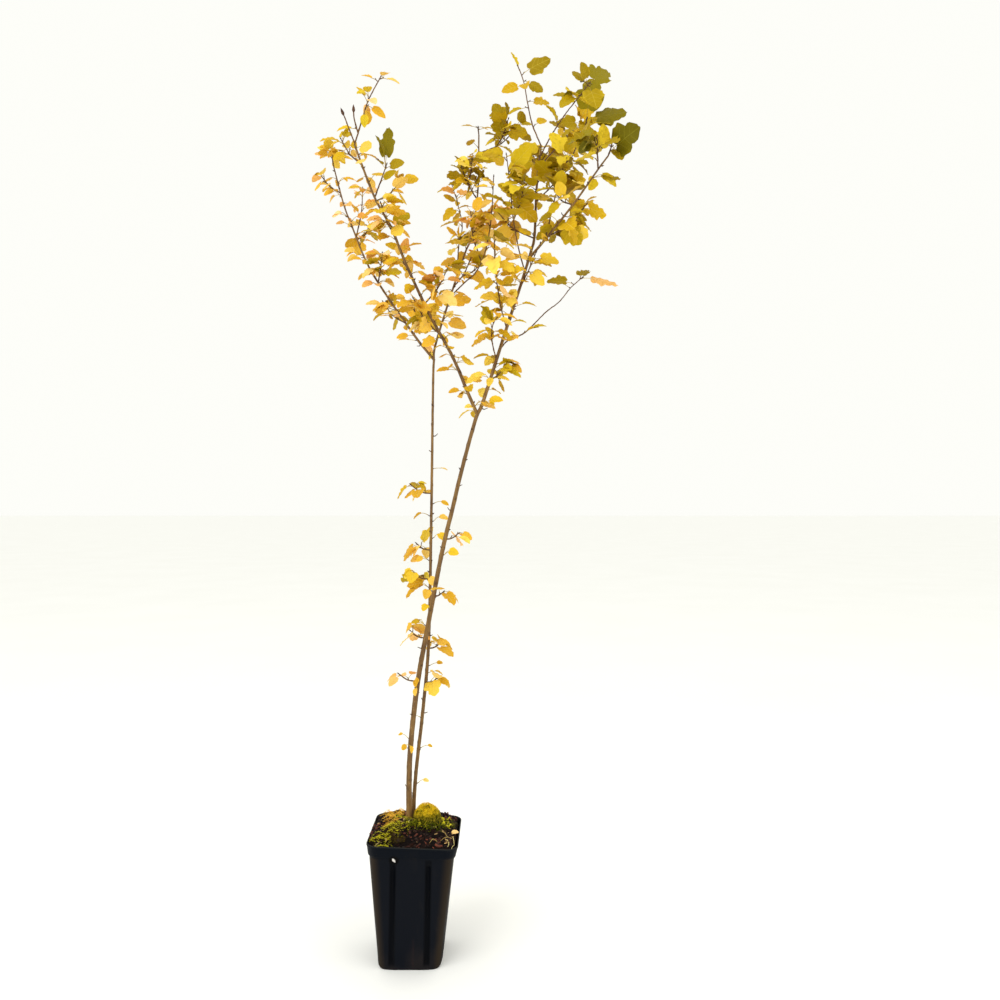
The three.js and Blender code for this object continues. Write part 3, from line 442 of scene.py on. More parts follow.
def leaf_on(mass, k, attempt):
    """A mass's leaf number k: as seen, or else drawn from its seed, anew at each attempt."""
    seen = mass.get("seen", [])
    if k < len(seen):
        return seen_leaf(mass["axes"][0], *seen[k], attempt)
    seed = mass["seed"] * SEED_STEP + k + attempt * TRY_STEP
    axis = mass["axes"][0 if mass.get("bare_sides") else k % len(mass["axes"])]
    t = mix(mass.get("from", LEAF_FROM), LEAF_TO, min(1, (k + 0.6) / mass["leaves"]))
    along = axis.tangent(t)
    turn = k * GOLDEN_ANGLE + mass["seed"] + (chance(seed, 1) - 0.5) * mix(0.8, 3, attempt / MOST_TRIES)
    out = way(turn, 0)
    out = out - along * along.dot(out)
    if np.linalg.norm(out) < LEAST_OUT:
        out = np.array([-math.sin(turn), math.cos(turn), 0])
    stalk_way = unit(unit(out) + along * mix(0.3, 0.9, chance(seed, 2)) + UP * 0.15)
    blade_way = unit(stalk_way + UP * (mix(-0.9, -0.1, chance(seed, 3)) - mass.get("droop", 0)))
    lean = np.array([chance(seed, 4) - 0.5, chance(seed, 5) - 0.6, 0]) * mass.get("lean", LEAF_LEAN)
    blade = mass["blade"] * mix(0.75, 1.2, chance(seed, 6))
    return stand_leaf(axis.point(t), stalk_way, blade_way, UP + lean, blade)


def keeps_to_space(leaf, mass):
    """Whether a leaf keeps nearer to its own twig than to any other, and off every limb."""
    neck, side, along, blade = (leaf[part] for part in ("neck", "side", "blade_way", "blade"))
    edge = np.array([neck + (side * across + along * far) * blade for across, far in SPACE_SPOTS])
    middle = neck + along * blade * SPACE_CENTRE
    inner = (edge + middle) / 2
    if nearest(np.vstack([edge, inner, [middle]]), LIMB_SAMPLES).min() < LIMB_ROOM:
        return False
    own = nearest(edge, mass["samples"])
    others = np.vstack([other["samples"] for other in MASSES if other is not mass])
    return bool((nearest(edge, others) > own - SPACE_SLACK * blade).all())


# Meshes from arrays

class Pile:
    """Many small shapes that become one piece. Each corner keeps its place on the map of its shape, and
    the draw of its shape, a number from 0 to 1 that its finish reads."""

    def __init__(self):
        self.places = []
        self.faces = []
        self.maps = []
        self.draws = []
        self.count = 0

    def add(self, places, faces, maps=None, draw=0.0):
        places = np.asarray(places, float)
        self.places.append(places)
        self.faces.extend([[corner + self.count for corner in face] for face in faces])
        self.maps.append(np.zeros((len(places), 2)) if maps is None else np.asarray(maps, float))
        self.draws.append(np.full(len(places), draw))
        self.count += len(places)

    def piece(self, name, finish, slot, flat_angle):
        mesh = bpy.data.meshes.new(name)
        mesh.from_pydata(np.vstack(self.places) * MM, [], self.faces)
        corners = np.zeros(len(mesh.loops), int)
        mesh.loops.foreach_get("vertex_index", corners)
        layer = mesh.uv_layers.new(name="map")
        layer.data.foreach_set("uv", np.vstack(self.maps)[corners].ravel())
        drawn = mesh.attributes.new("draw", "FLOAT", "POINT")
        drawn.data.foreach_set("value", np.concatenate(self.draws))
        thing = bpy.data.objects.new(name, mesh)
        bpy.context.scene.collection.objects.link(thing)
        finish_piece(thing, finish, flat_angle)
        return thing


def only(thing):
    """Makes this the one object that is selected and active."""
    for other in bpy.context.selected_objects:
        other.select_set(False)
    thing.select_set(True)
    bpy.context.view_layer.objects.active = thing


def finish_piece(thing, finish, flat_angle):
    """Gives a piece its finish, smooth but for edges sharper than an angle in degrees."""
    only(thing)
    bpy.ops.object.shade_smooth_by_angle(angle=math.radians(flat_angle))
    thing.data.materials.clear()
    thing.data.materials.append(finish)
    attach(thing, "root")


def tube(centres, radii, sides):
    """Corners and faces of a closed tube through centres, with a radius, or one a side, for each."""
    centres = np.asarray(centres, float)
    rings = len(centres)
    tangents = np.gradient(centres, axis=0)
    tangents /= np.linalg.norm(tangents, axis=1)[:, None]
    across = np.array([0.0, 1.0, 0.0]) if abs(tangents[0][1]) < 0.8 else np.array([1.0, 0.0, 0.0])
    angles = np.arange(sides) / sides * 2 * math.pi
    places = []
    for centre, tangent, radius in zip(centres, tangents, radii):
        across = unit(across - tangent * tangent.dot(across))
        other = np.cross(tangent, across)
        reach = np.broadcast_to(radius, (sides,))[:, None]
        around = np.cos(angles)[:, None] * across + np.sin(angles)[:, None] * other
        places.append(centre + reach * around)
    faces = []
    for ring in range(rings - 1):
        for n in range(sides):
            low = ring * sides
            after = (n + 1) % sides
            faces.append([low + n, low + after, low + sides + after, low + sides + n])
    faces.append(list(range(sides))[::-1])
    faces.append([(rings - 1) * sides + n for n in range(sides)])
    return np.vstack(places), faces


# Materials

class Field:
    """A number or colour that changes over a surface. An expression on fields adds its Math nodes."""

    def __init__(self, finish, socket):
        self.finish = finish
        self.socket = socket

    def math(self, operation, *others):
        return self.finish.node("Math", {"operation": operation}, [self, *others])

    def __add__(self, other):
        return self.math("ADD", other)

    __radd__ = __add__

    def __mul__(self, other):
        return self.math("MULTIPLY", other)

    __rmul__ = __mul__

    def __sub__(self, other):
        return self.math("SUBTRACT", other)

    def __rsub__(self, other):
        return self.finish.node("Math", {"operation": "SUBTRACT"}, [other, self])

    def __truediv__(self, other):
        return self.math("DIVIDE", other)

    def __abs__(self):
        return self.math("ABSOLUTE")

    def band(self, low, high):
        """0 at low, 1 at high, and smooth between, either way round."""
        smooth = {"interpolation_type": "SMOOTHSTEP", "clamp": True}
        ends = {"Value": self, "From Min": low, "From Max": high}
        return self.finish.node("MapRange", smooth, ends)


def linear(shown):
    return shown / 12.92 if shown <= 0.04045 else ((shown + 0.055) / 1.055) ** 2.4


def display(red, green, blue):
    """A colour as it shows on the screen, as the linear one that the shader takes."""
    return linear(red), linear(green), linear(blue), 1.0


class Finish:
    """A material with one Principled shader, whose even settings stand on its own sockets."""

    def __init__(self, name, **even):
        self.material = bpy.data.materials.new(name)
        self.material.use_nodes = True
        self.tree = self.material.node_tree
        self.shader = self.tree.nodes["Principled BSDF"]
        for socket, value in even.items():
            self.shader.inputs[socket.replace("_", " ")].default_value = value

    def node(self, kind, settings=None, inputs=(), output=0):
        """Adds a node with its settings and its sockets' values or fields, and gives one output."""
        node = self.tree.nodes.new("ShaderNode" + kind)
        for name, value in (settings or {}).items():
            if name == "stops":
                for _ in range(len(value) - 2):
                    node.color_ramp.elements.new(0.5)
                for element, (at, colour) in zip(node.color_ramp.elements, value):
                    element.position = at
                    element.color = colour
            else:
                setattr(node, name, value)
        for socket, value in (inputs.items() if isinstance(inputs, dict) else enumerate(inputs)):
            if isinstance(value, Field):
                self.tree.links.new(value.socket, node.inputs[socket])
            else:
                node.inputs[socket].default_value = value
        return Field(self, node.outputs[output])

    def place(self, stretch=(1, 1, 1)):
        """Object coordinates, stretched."""
        spot = self.node("TexCoord", output="Object")
        return self.node("Mapping", None, {"Vector": spot, "Scale": stretch})

    def map(self):
        """The piece's own map, as its two fields."""
        both = self.node("UVMap", {"uv_map": "map"})
        return self.node("SeparateXYZ", None, [both], "X"), self.node("SeparateXYZ", None, [both], "Y")

    def draw(self):
        """The draw of each shape in a piece, from 0 to 1."""
        return self.node("Attribute", {"attribute_name": "draw"}, output="Fac")

    def grain(self, size, stretch=(1, 1, 1), detail=3.0, rough=0.55):
        """Cloudy noise whose clouds are about size millimetres across."""
        inputs = {"Vector": self.place(stretch), "Scale": 1 / (size * MM), "Detail": detail,
                  "Roughness": rough}
        return self.node("TexNoise", None, inputs, "Fac")

    def cells(self, size, stretch=(1, 1, 1)):
        """How far a point lies from the middle of its cell, in cells about size millimetres across."""
        inputs = {"Vector": self.place(stretch), "Scale": 1 / (size * MM)}
        return self.node("TexVoronoi", None, inputs, "Distance")

    def blend(self, share, first, second):
        """The first colour where share is 0, the second where it is 1."""
        return self.node("Mix", {"data_type": "RGBA"}, {0: share, 6: first, 7: second}, 2)

    def ramp(self, share, *stops):
        return self.node("ValToRGB", {"stops": stops}, [share])

    def along(self, axis):
        """Where a point of the piece lies along X, Y or Z, in millimetres."""
        return self.node("SeparateXYZ", None, [self.place()], axis) * (1 / MM)

    def wear(self, colour, roughness, bump=None, depth=0.2):
        """Feeds the shader: its colour, its roughness, and a relief of that depth in millimetres."""
        links = self.tree.links
        links.new(colour.socket, self.shader.inputs["Base Color"])
        links.new(roughness.socket, self.shader.inputs["Roughness"])
        if bump is not None:
            relief = self.node("Bump", None, {"Height": bump, "Distance": depth * MM, "Strength": 1.0})
            links.new(relief.socket, self.shader.inputs["Normal"])
        return self.material


def bark_finish(name, pale, dark):
    """Thin young bark: lengthwise streaks, small pale pores and a dark crust round the nodes."""
    finish = Finish(name, Specular_IOR_Level=0.35)
    streaks = finish.grain(2.2, (1, 1, 0.12), 4)
    patches = finish.grain(26, (1, 1, 0.5), 2)
    crust = finish.draw()
    share = (streaks * 0.75 + patches * 0.55 - 0.25).band(0.15, 0.75)
    colour = finish.blend(share, display(*dark), display(*pale))
    pores = finish.cells(2.6, stretch=(1, 1, 0.45)).band(0.2, 0.1)
    colour = finish.blend(pores * 0.45, colour, display(0.74, 0.62, 0.45))
    colour = finish.blend(crust * 0.8, colour, display(0.2, 0.12, 0.06))
    return finish.wear(colour, streaks * 0.3 + 0.45, streaks + pores * 0.4, 0.16)


def leaf_finish(name, deep, middle, pale, vein):
    """A blade with its midrib, three side veins on each side and a paler edge, which is a painted glow
    of light shining through the backlit edge. The leaf's draw takes it from the deep colour to the pale
    one."""
    finish = Finish(name, Specular_IOR_Level=0.12)
    across, along = finish.map()
    x = abs(across - 0.5)
    draw = finish.draw()
    midrib = x.band(0.022, 0.006)
    side_veins = abs(x * 0.85 - along + 0.12).band(0.03, 0.006)
    side_veins = side_veins + abs(x * 0.62 - along + 0.38).band(0.024, 0.005)
    side_veins = side_veins + abs(x * 0.6 - along + 0.6).band(0.02, 0.004)
    veins = (midrib + side_veins * 0.6).math("MINIMUM", 1.0)
    # Painted glow: the outer part of the blade turns towards the pale colour, standing for light
    # shining through the backlit edge.
    edge = (x * 1.7).band(0.45, 0.95)
    spots = finish.grain(5, detail=3)
    blotches = (spots + draw * 0.2).band(0.66, 0.92)
    stops = [(0.05, display(*deep)), (0.5, display(*middle)), (0.95, display(*pale))]
    tone = finish.ramp(draw + (spots - 0.5) * 0.3, *stops)
    colour = finish.blend(edge * 0.4, tone, display(*pale))
    colour = finish.blend(blotches * 0.35, colour, display(*deep))
    colour = finish.blend(veins * 0.4, colour, display(*vein))
    return finish.wear(colour, spots * 0.25 + 0.45, spots * 0.6 - veins * 0.9, 0.25)


def pot_finish():
    """Soft black plastic with a faint blue cast and a fine moulded grain. Dust and smears gather low on
    it. A warm painted reflection runs down the corners, painted shade darkens the grooves, the collar
    is darker, a painted highlight runs along the rim, and a black patch of painted shade round the
    grain stands for a hole."""
    finish = Finish("pot_plastic", Specular_IOR_Level=0.05)
    clouds = finish.grain(34, (1, 1, 0.35), 4)
    z = finish.along("Z")
    x = finish.along("X") - z * (LEAN / POT_HEIGHT)
    across = abs(x).math("MINIMUM", abs(finish.along("Y")))
    half = z * ((BODY_TOP_HALF - BASE_HALF) / COLLAR_FOOT) + BASE_HALF
    # corners marks the pot's corner edges for a warm painted reflection.
    corners = (across / half).band(0.7, 0.92) * z.band(COLLAR_FOOT + 3, COLLAR_FOOT - 3)
    # grooves marks the grooves for painted shade.
    grooves = abs(across - GROOVE_AT).band(5.4, 2.6) * z.band(3, 9)
    grooves = grooves * z.band(COLLAR_FOOT - 1, COLLAR_FOOT - 4)
    dust = (clouds + z.band(46, 4) * 0.28).band(0.6, 0.86)
    smears = finish.grain(11, (1, 1, 0.2), 5).band(0.56, 0.8)
    collar = z.band(COLLAR_FOOT - 2, COLLAR_FOOT + 1)
    # rim marks a thin band along the rim's top edge for a painted highlight.
    rim = (z + x * COLLAR_TILT).band(POT_HEIGHT - 1.6, POT_HEIGHT - 0.2)
    # The distance from the grain, for a patch of painted shade that stands for a hole round it.
    grain_at = [value * MM for value in GRAIN_SPOT]
    ends = [finish.place(), grain_at]
    hole_shade_distance = finish.node("VectorMath", {"operation": "DISTANCE"}, ends, "Value") * (1 / MM)
    colour = finish.blend(clouds, display(0.03, 0.045, 0.075), display(0.05, 0.06, 0.085))
    colour = finish.blend(dust * 0.3 + smears * 0.05, colour, display(0.2, 0.17, 0.15))
    colour = finish.blend(smears * z.band(58, 22) * 0.3, colour, display(0.2, 0.13, 0.13))
    # Painted reflection: a warm brown tint down the corner edges.
    colour = finish.blend(corners * (clouds * 0.5 + 0.35), colour, display(0.19, 0.15, 0.1))
    # Painted shade: the grooves are darkened nearly to black.
    colour = finish.blend(grooves * 0.85, colour, display(0.0, 0.005, 0.02))
    colour = finish.blend(collar * 0.55, colour, display(0.005, 0.025, 0.06))
    # Painted highlight: a paler grey line along the rim's top edge.
    colour = finish.blend(rim * 0.35, colour, display(0.24, 0.24, 0.22))
    # Painted shade: a black patch round the grain stands for the shade inside a hole.
    colour = finish.blend(hole_shade_distance.band(7.5, 4.5), colour, display(0.0, 0.0, 0.0))
    scuffs = finish.node("TexWave", {"wave_type": "BANDS", "bands_direction": "Z"}, {
        "Vector": finish.place(), "Scale": 260.0, "Distortion": 2.5, "Detail": 2.0})
    relief = finish.grain(0.9, detail=2) * 0.5 + scuffs * 0.12
    return finish.wear(colour, clouds * 0.22 + dust * 0.3 + 0.3, relief, 0.12)


def soil_finish():
    """Damp dark potting soil with paler fibres in it."""
    finish = Finish("potting_soil", Specular_IOR_Level=0.1)
    crumbs = finish.cells(2.4)
    peat = finish.grain(7, detail=6, rough=0.7)
    fibres = finish.grain(1.3, (1, 0.3, 1), 4)
    stops = [(0.3, display(0.02, 0.01, 0.01)), (0.52, display(0.07, 0.04, 0.03)),
             (0.7, display(0.2, 0.1, 0.07))]
    colour = finish.ramp(peat, *stops)
    colour = finish.blend(fibres.band(0.66, 0.82) * 0.4, colour, display(0.36, 0.22, 0.14))
    return finish.wear(colour, peat * 0.2 + 0.78, peat + crumbs * 0.5, 1.2)


def moss_finish(name, low, high, tip, heights):
    """Moss that turns from one colour to another between two heights, with paler tips."""
    finish = Finish(name, Specular_IOR_Level=0.08)
    tufts = finish.grain(3.2, detail=4)
    share = finish.along("Z").band(*heights) + (tufts - 0.5) * 0.5
    colour = finish.blend(share.band(0, 1), display(*low), display(*high))
    colour = finish.blend(finish.draw() * 0.55 + tufts.band(0.55, 0.75) * 0.3, colour, display(*tip))
    return finish.wear(colour, tufts * 0.2 + 0.7, tufts, 0.6)


def chip_finish(name, dark, pale, size=1.6):
    """Small bits of bark, wood and straw, each with its own shade and a lengthwise grain."""
    finish = Finish(name, Specular_IOR_Level=0.3)
    grain = finish.grain(size, (1, 0.25, 1), 4)
    share = (grain * 0.7 + finish.draw() * 0.6 - 0.15).band(0, 1)
    colour = finish.blend(share, display(*dark), display(*pale))
    return finish.wear(colour, grain * 0.2 + 0.7, grain, 0.4)


def floor_finish():
    finish = Finish("floor", Specular_IOR_Level=0.1)
    paper = finish.grain(400, detail=2)
    colour = finish.blend(paper, display(0.98, 0.98, 0.965), display(1, 1, 0.99))
    return finish.wear(colour, paper * 0.1 + 0.85)


# The limbs, with the relief of their bark

RING_STEP = 1.6
THICK_LIMB = 3
SEAT_DEPTH = 0.8
FIRST_NODE = (6, 18)
NODE_GAP = (9, 27)
BARE_TOP = 3
NODE_HALF = (1.5, 2.6)
NODE_SIZE = (0.25, 1.0)
RIDGE_RISE = 0.06
NODE_RISE = 0.2
CRUST_ROUND = 0.15
CRUST_ON_SCAR = 0.75
STUB_SHARE = 0.25
STUB_LENGTH = (3, 8)
STUB_RADII = (0.85, 0.65, 0.4)
BUD_SHARE = 0.7
NODE_BUD_LENGTH = (2.5, 4.2)
NODE_BUD_THICK = 0.95


def nodes_along(length, seed):
    """Where a limb's old nodes lie along it, unevenly, in millimetres from its foot."""
    places = []
    at = mix(*FIRST_NODE, chance(seed, 0))
    while at < length - BARE_TOP:
        places.append(at)
        at += mix(*NODE_GAP, chance(seed, len(places)))
    return places


def node_relief(s, nodes, angles, seed):
    """How far a limb's old nodes raise its bark, and scar it on their side, s millimetres along it."""
    bump = np.zeros(len(angles))
    scar = np.zeros(len(angles))
    for n, at in enumerate(nodes):
        near = math.exp(-((s - at) / mix(*NODE_HALF, chance(seed + 5, n))) ** 2)
        facing = np.clip(np.cos(angles - n * GOLDEN_ANGLE), 0, 1) ** 2
        size = mix(*NODE_SIZE, chance(seed + 6, n))
        bump += near * (0.25 + facing) * size
        scar += near * facing * size
    return bump, scar


def noise_round(angles, wide, height):
    """Seeded noise round a ring. The wider the ring in the noise, the more ridges stand on it."""
    ring = [Vector((math.cos(a) * wide, math.sin(a) * wide, height)) for a in angles]
    return np.array([noise.noise(place) for place in ring])


def limb_piece(name, seed):
    """A limb's bark: a tapering tube with ridges along it, and a bump and a scar at one side of each
    old node. A limb that leaves another one starts a little inside it."""
    axis = LIMBS[name]
    sides = 16 if axis.radii[0] > THICK_LIMB else 12
    foot = 0 if axis.flared else -SEAT_DEPTH * axis.radius(0) / axis.length
    rings = int(axis.length / RING_STEP)
    nodes = nodes_along(axis.length, seed)
    angles = np.arange(sides) / sides * 2 * math.pi
    centres = []
    radii = []
    crusts = []
    for ring in range(rings + 1):
        t = mix(foot, 1, ring / rings)
        s = t * axis.length
        bump, scar = node_relief(s, nodes, angles, seed)
        broad = noise_round(angles, 1.2, s * 0.05 + seed * 7)
        ridges = noise_round(angles, 4, s * 0.11 + seed * 3)
        base = axis.radius(max(0.0, t))
        nodes_rise = NODE_RISE * bump * min(1.0, 2.2 / base)
        radii.append(base * (1 + RIDGE_RISE * broad + RIDGE_RISE * ridges + nodes_rise))
        centres.append(axis.point(max(0.0, t)) + (axis.tangent(0) * s if t < 0 else 0))
        crusts.append(np.clip(CRUST_ROUND * bump + CRUST_ON_SCAR * scar, 0, 1))
    places, faces = tube(centres, radii, sides)
    pile = Pile()
    pile.add(places, faces)
    pile.draws = [np.concatenate(crusts)]
    piece = pile.piece(name + "_bark", FINISHES["bark"], "bark", 80)
    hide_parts(name)


def out_of(axis, t, heading):
    """The way straight out of an axis at t, towards a heading, and the way along it there."""
    along = axis.tangent(t)
    out = way(heading, 0)
    out = out - along * along.dot(out)
    return unit(out), along


def add_stubs(stubs, buds, name, seed):
    """Short dead stubs and resting buds at some of a limb's nodes."""
    axis = LIMBS[name]
    for n, at in enumerate(nodes_along(axis.length, seed)):
        draw = chance(seed + 9, n)
        t = at / axis.length
        out, along = out_of(axis, t, n * GOLDEN_ANGLE)
        foot = axis.point(t) + out * axis.radius(t) * 0.7
        if draw < STUB_SHARE:
            reach = mix(*STUB_LENGTH, chance(seed + 10, n))
            bend = unit(out + along * mix(0.3, 1.2, chance(seed + 11, n)))
            elbow = foot + out * reach * 0.4
            places, faces = tube([foot, elbow, elbow + bend * reach * 0.6], STUB_RADII, 5)
            stubs.add(places, faces, draw=0.75)
        elif draw < BUD_SHARE:
            length = mix(*NODE_BUD_LENGTH, chance(seed + 12, n))
            add_bud(buds, foot, unit(out + along * 0.9), length, NODE_BUD_THICK, draw)


# Twigs, buds and stalks: the finer growth of each mass

# A bud's form from its foot to its point: shares of its length and of its thickness.
BUD_FORM = [(0, 0.42), (0.3, 1.0), (0.62, 0.72), (1.0, 0.0)]
BUD_POINT = 0.06
LEAF_BUD = (2.8, 0.7)
END_BUD_LENGTH = 4.2
END_BUD_SWELL = 1.5
TWIG_STEP = 2.6
TWIG_WANDER = 0.35
KNOT_HALF = 1.3
KNOT_SWELL = 0.28
STALK_THICK = 0.36
STALK_BOW = 0.12


def add_bud(pile, foot, out, length, thick, draw):
    """A small pointed bud that stands on its foot."""
    centres = [foot + out * (length * along) for along, _ in BUD_FORM]
    radii = [max(BUD_POINT, thick * wide) for _, wide in BUD_FORM]
    places, faces = tube(centres, radii, 5)
    pile.add(places, faces, draw=draw)


def add_twig(twigs, buds, axis, seed, knots, end=1):
    """A twig's wood, thicker at the knots where leaves leave it, with a bud at its end."""
    count = max(4, int(axis.length * end / TWIG_STEP))
    centres = []
    radii = []
    for n in range(count + 1):
        t = end * n / count
        knot = sum(math.exp(-((t - at) * axis.length / KNOT_HALF) ** 2) for at in knots)
        radii.append(axis.radius(t) * (1 + KNOT_SWELL * min(1.0, knot)))
        centres.append(axis.point(t))
    for n in range(1, count):
        shift = [noise.noise(Vector((n * 0.9, seed * 1.7, k * 9.1))) * TWIG_WANDER for k in range(3)]
        centres[n] = centres[n] + np.array(shift)
    places, faces = tube(centres, radii, 6)
    twigs.add(places, faces, draw=0.3 * chance(seed, 77))
    thick = axis.radius(end) * END_BUD_SWELL
    add_bud(buds, centres[-1], axis.tangent(end), END_BUD_LENGTH, thick, chance(seed, 78))


def add_stalk(pile, start, leaf):
    """A leaf's stalk: from its spur to the foot of the blade, a little bowed, and on beneath it."""
    neck = leaf["neck"]
    bow = (leaf["stalk_way"] - leaf["blade_way"]) * np.linalg.norm(neck - start) * STALK_BOW
    centres = [mix(start, neck, t) + bow * math.sin(math.pi * t) for t in (0, 0.35, 0.7, 1)]
    centres.append(neck + leaf["blade_way"] * leaf["blade"] * 0.1 - leaf["up"] * 0.2)
    places, faces = tube(centres, [STALK_THICK * share for share in (1.25, 1, 0.9, 1, 0.5)], 4)
    pile.add(places, faces, draw=chance(leaf["blade"], 3))


# Half of a lobed blade's outline, from its foot round a side lobe to its tip, as shares of its length.
HALF_OUTLINE = [
    (0.11, -0.05), (0.25, -0.06), (0.37, 0.0), (0.44, 0.09), (0.49, 0.19), (0.5, 0.3), (0.54, 0.4),
    (0.51, 0.49), (0.42, 0.54), (0.31, 0.59), (0.34, 0.7), (0.31, 0.8), (0.23, 0.88), (0.14, 0.95),
    (0.06, 0.99),
]
MIDRIB = [0.03, 0.26, 0.5, 0.74, 1.02]
INNER = [(0.22, 0.2), (0.23, 0.42), (0.15, 0.66)]
INNER_RISE = 0.012
PLAIN_HALF_WIDTH = 0.48
WIDTH_VARIES = 0.07
LENGTH_VARIES = 0.02
MAP_SHARE = 0.9


class LeafForm:
    """A blade's form: more or less lobed and broad, folded at its midrib, cupped, curled and rippled.
    Its faces lie in three fans on each side of the midrib, with a few between them."""

    def __init__(self, lobed, broad, fold, cup, curl, ripple, seed):
        places = []
        for half in (1, -1):
            for n, (across, along) in enumerate(HALF_OUTLINE):
                plain = PLAIN_HALF_WIDTH * math.sin(math.pi * min(1, max(0.03, along)) ** 0.85) ** 0.52
                wider = 1 + WIDTH_VARIES * (chance(seed + half, n) - 0.5)
                further = LENGTH_VARIES * (chance(seed + half, n + 40) - 0.5)
                x = mix(plain, across, lobed) * broad * wider
                y = mix(max(0.0, along), along, lobed) + further
                z = ripple * math.sin(n * 1.9 + seed + half)
                places.append((half * x, y, z))
        for y in MIDRIB:
            places.append((0.0, y, 0.0))
        for half in (1, -1):
            for x, y in INNER:
                places.append((half * x * broad, y, INNER_RISE))
        self.places = np.array(places)
        x, y = self.places[:, 0], self.places[:, 1]
        self.places[:, 2] += fold * np.abs(x) + cup * x * x - curl * np.clip(y, 0, 1) ** 2
        self.maps = np.stack([x / broad * MAP_SHARE + 0.5, y], axis=1)
        self.faces = []
        rim = len(HALF_OUTLINE)
        for half in (0, 1):
            edge = [half * rim + n for n in range(rim)]
            rib = [2 * rim + n for n in range(len(MIDRIB))]
            first = 2 * rim + len(MIDRIB) + half * len(INNER)
            low, middle, high = first, first + 1, first + 2
            fans = [(low, [rib[0], *edge[:6]]), (middle, edge[5:10]), (high, [*edge[9:], rib[4]])]
            mine = [[hub, a, b] for hub, ring in fans for a, b in zip(ring, ring[1:])]
            mine += [
                [low, rib[1], rib[0]], [low, middle, rib[1]], [low, edge[5], middle],
                [middle, rib[2], rib[1]], [middle, high, rib[2]], [middle, edge[9], high],
                [high, rib[3], rib[2]], [high, rib[4], rib[3]],
            ]
            self.faces += [face[::-1] for face in mine] if half == 0 else mine


# Each: how lobed and how broad, fold, cup, curl, ripple, seed.
BROAD_FORMS = [LeafForm(*form) for form in [
    (1.0, 0.92, 0.08, 0.25, 0.14, 0.03, 1), (0.9, 0.8, 0.3, -0.2, 0.2, 0.03, 2),
    (1.0, 0.86, -0.1, 0.6, 0.06, 0.03, 3), (0.6, 0.78, 0.2, 0.1, 0.3, 0.035, 4),
    (0.85, 0.9, 0.05, -0.4, 0.12, 0.04, 5), (0.3, 0.76, 0.12, 0.3, 0.16, 0.02, 6),
]]
SMALL_FORMS = [LeafForm(*form) for form in [
    (0.3, 0.8, 0.15, 0.3, 0.2, 0.02, 11), (0.1, 0.68, 0.3, -0.2, 0.25, 0.02, 12),
    (0.45, 0.84, 0.1, 0.5, 0.1, 0.02, 13), (0.15, 0.74, 0.3, 0.2, 0.16, 0.02, 14),
    (0.25, 0.9, 0.0, -0.4, 0.2, 0.02, 15), (0.05, 0.56, 0.4, 0.0, 0.3, 0.02, 16),
]]
BROAD_FROM = 20
BROAD_BLUR = 4
DRAW_SPREAD = 0.85


def add_blade(pile, leaf, seed, width, draw=None):
    """A blade of a form for its size, larger ones broader and more lobed."""
    size = leaf["blade"] + BROAD_BLUR * (chance(seed, 51) - 0.5)
    forms = BROAD_FORMS if size > BROAD_FROM else SMALL_FORMS
    form = forms[int(chance(seed, 52) * len(forms))]
    if draw is None:
        draw = 0.5 + (chance(seed, 53) + chance(seed, 54) - 1) * DRAW_SPREAD
    axes = np.stack([leaf["side"] * width, leaf["blade_way"], leaf["up"]]) * leaf["blade"]
    pile.add(leaf["neck"] + form.places @ axes, form.faces, form.maps, draw)


TONE_ORDER = ["orange", "gold", "olive", "green"]
PEACH_OVER = {"orange": 0.84, "gold": 0.95, "olive": 1, "green": 1}
ORANGE_AS_GOLD = 0.22
ORANGE_AS_OLIVE = 0.34
TONE_BEFORE = 0.2
TONE_AFTER = 0.82


def tint_of(tone, seed):
    """A spray's tint: mostly its mass's tone, at times one beside it, here and there a faded peach."""
    draw = chance(seed, 11)
    n = TONE_ORDER.index(tone)
    if draw > PEACH_OVER[tone]:
        return "peach"
    if tone == "orange" and draw < ORANGE_AS_OLIVE:
        return "gold" if draw < ORANGE_AS_GOLD else "olive"
    if draw < TONE_BEFORE:
        return TONE_ORDER[max(0, n - 1)]
    if draw > TONE_AFTER:
        return TONE_ORDER[min(2, n + 1)]
    return tone


def companion(leaf, seed, size, angle):
    """A smaller leaf from the same spur, turned round the twig from its neighbour."""
    turn = Matrix.Rotation(angle, 3, "Z")
    stalk_way = unit(np.array(turn @ Vector(leaf["stalk_way"])) + UP * mix(-0.1, 0.5, chance(seed, 31)))
    blade_way = unit(np.array(turn @ Vector(leaf["blade_way"])) + UP * mix(-0.4, 0.3, chance(seed, 32)))
    facing = UP + np.array([chance(seed, 33) - 0.5, chance(seed, 34) - 0.75, 0]) * 2
    return stand_leaf(leaf["root"], stalk_way, blade_way, facing, leaf["blade"] * size)


SPUR = 3.2
SPUR_RADII = (0.7, 0.65, 0.55)
LIMB_SPUR = (1.5, 4.5)
LIMB_SPUR_RADII = (0.75, 0.6, 0.5)
LIMB_SPUR_DROOP = 0.15
LIMB_SPUR_FAN = 0.9
COMPANIONS = 3
COMPANION_SHARE = 0.5
COMPANION_SIZE = (0.55, 0.95)
SHOWN_COMPANION_SHARE = 0.2
LAST_LEAF_WIDTH = 0.38
LAST_LEAF_DRAW = 0.7

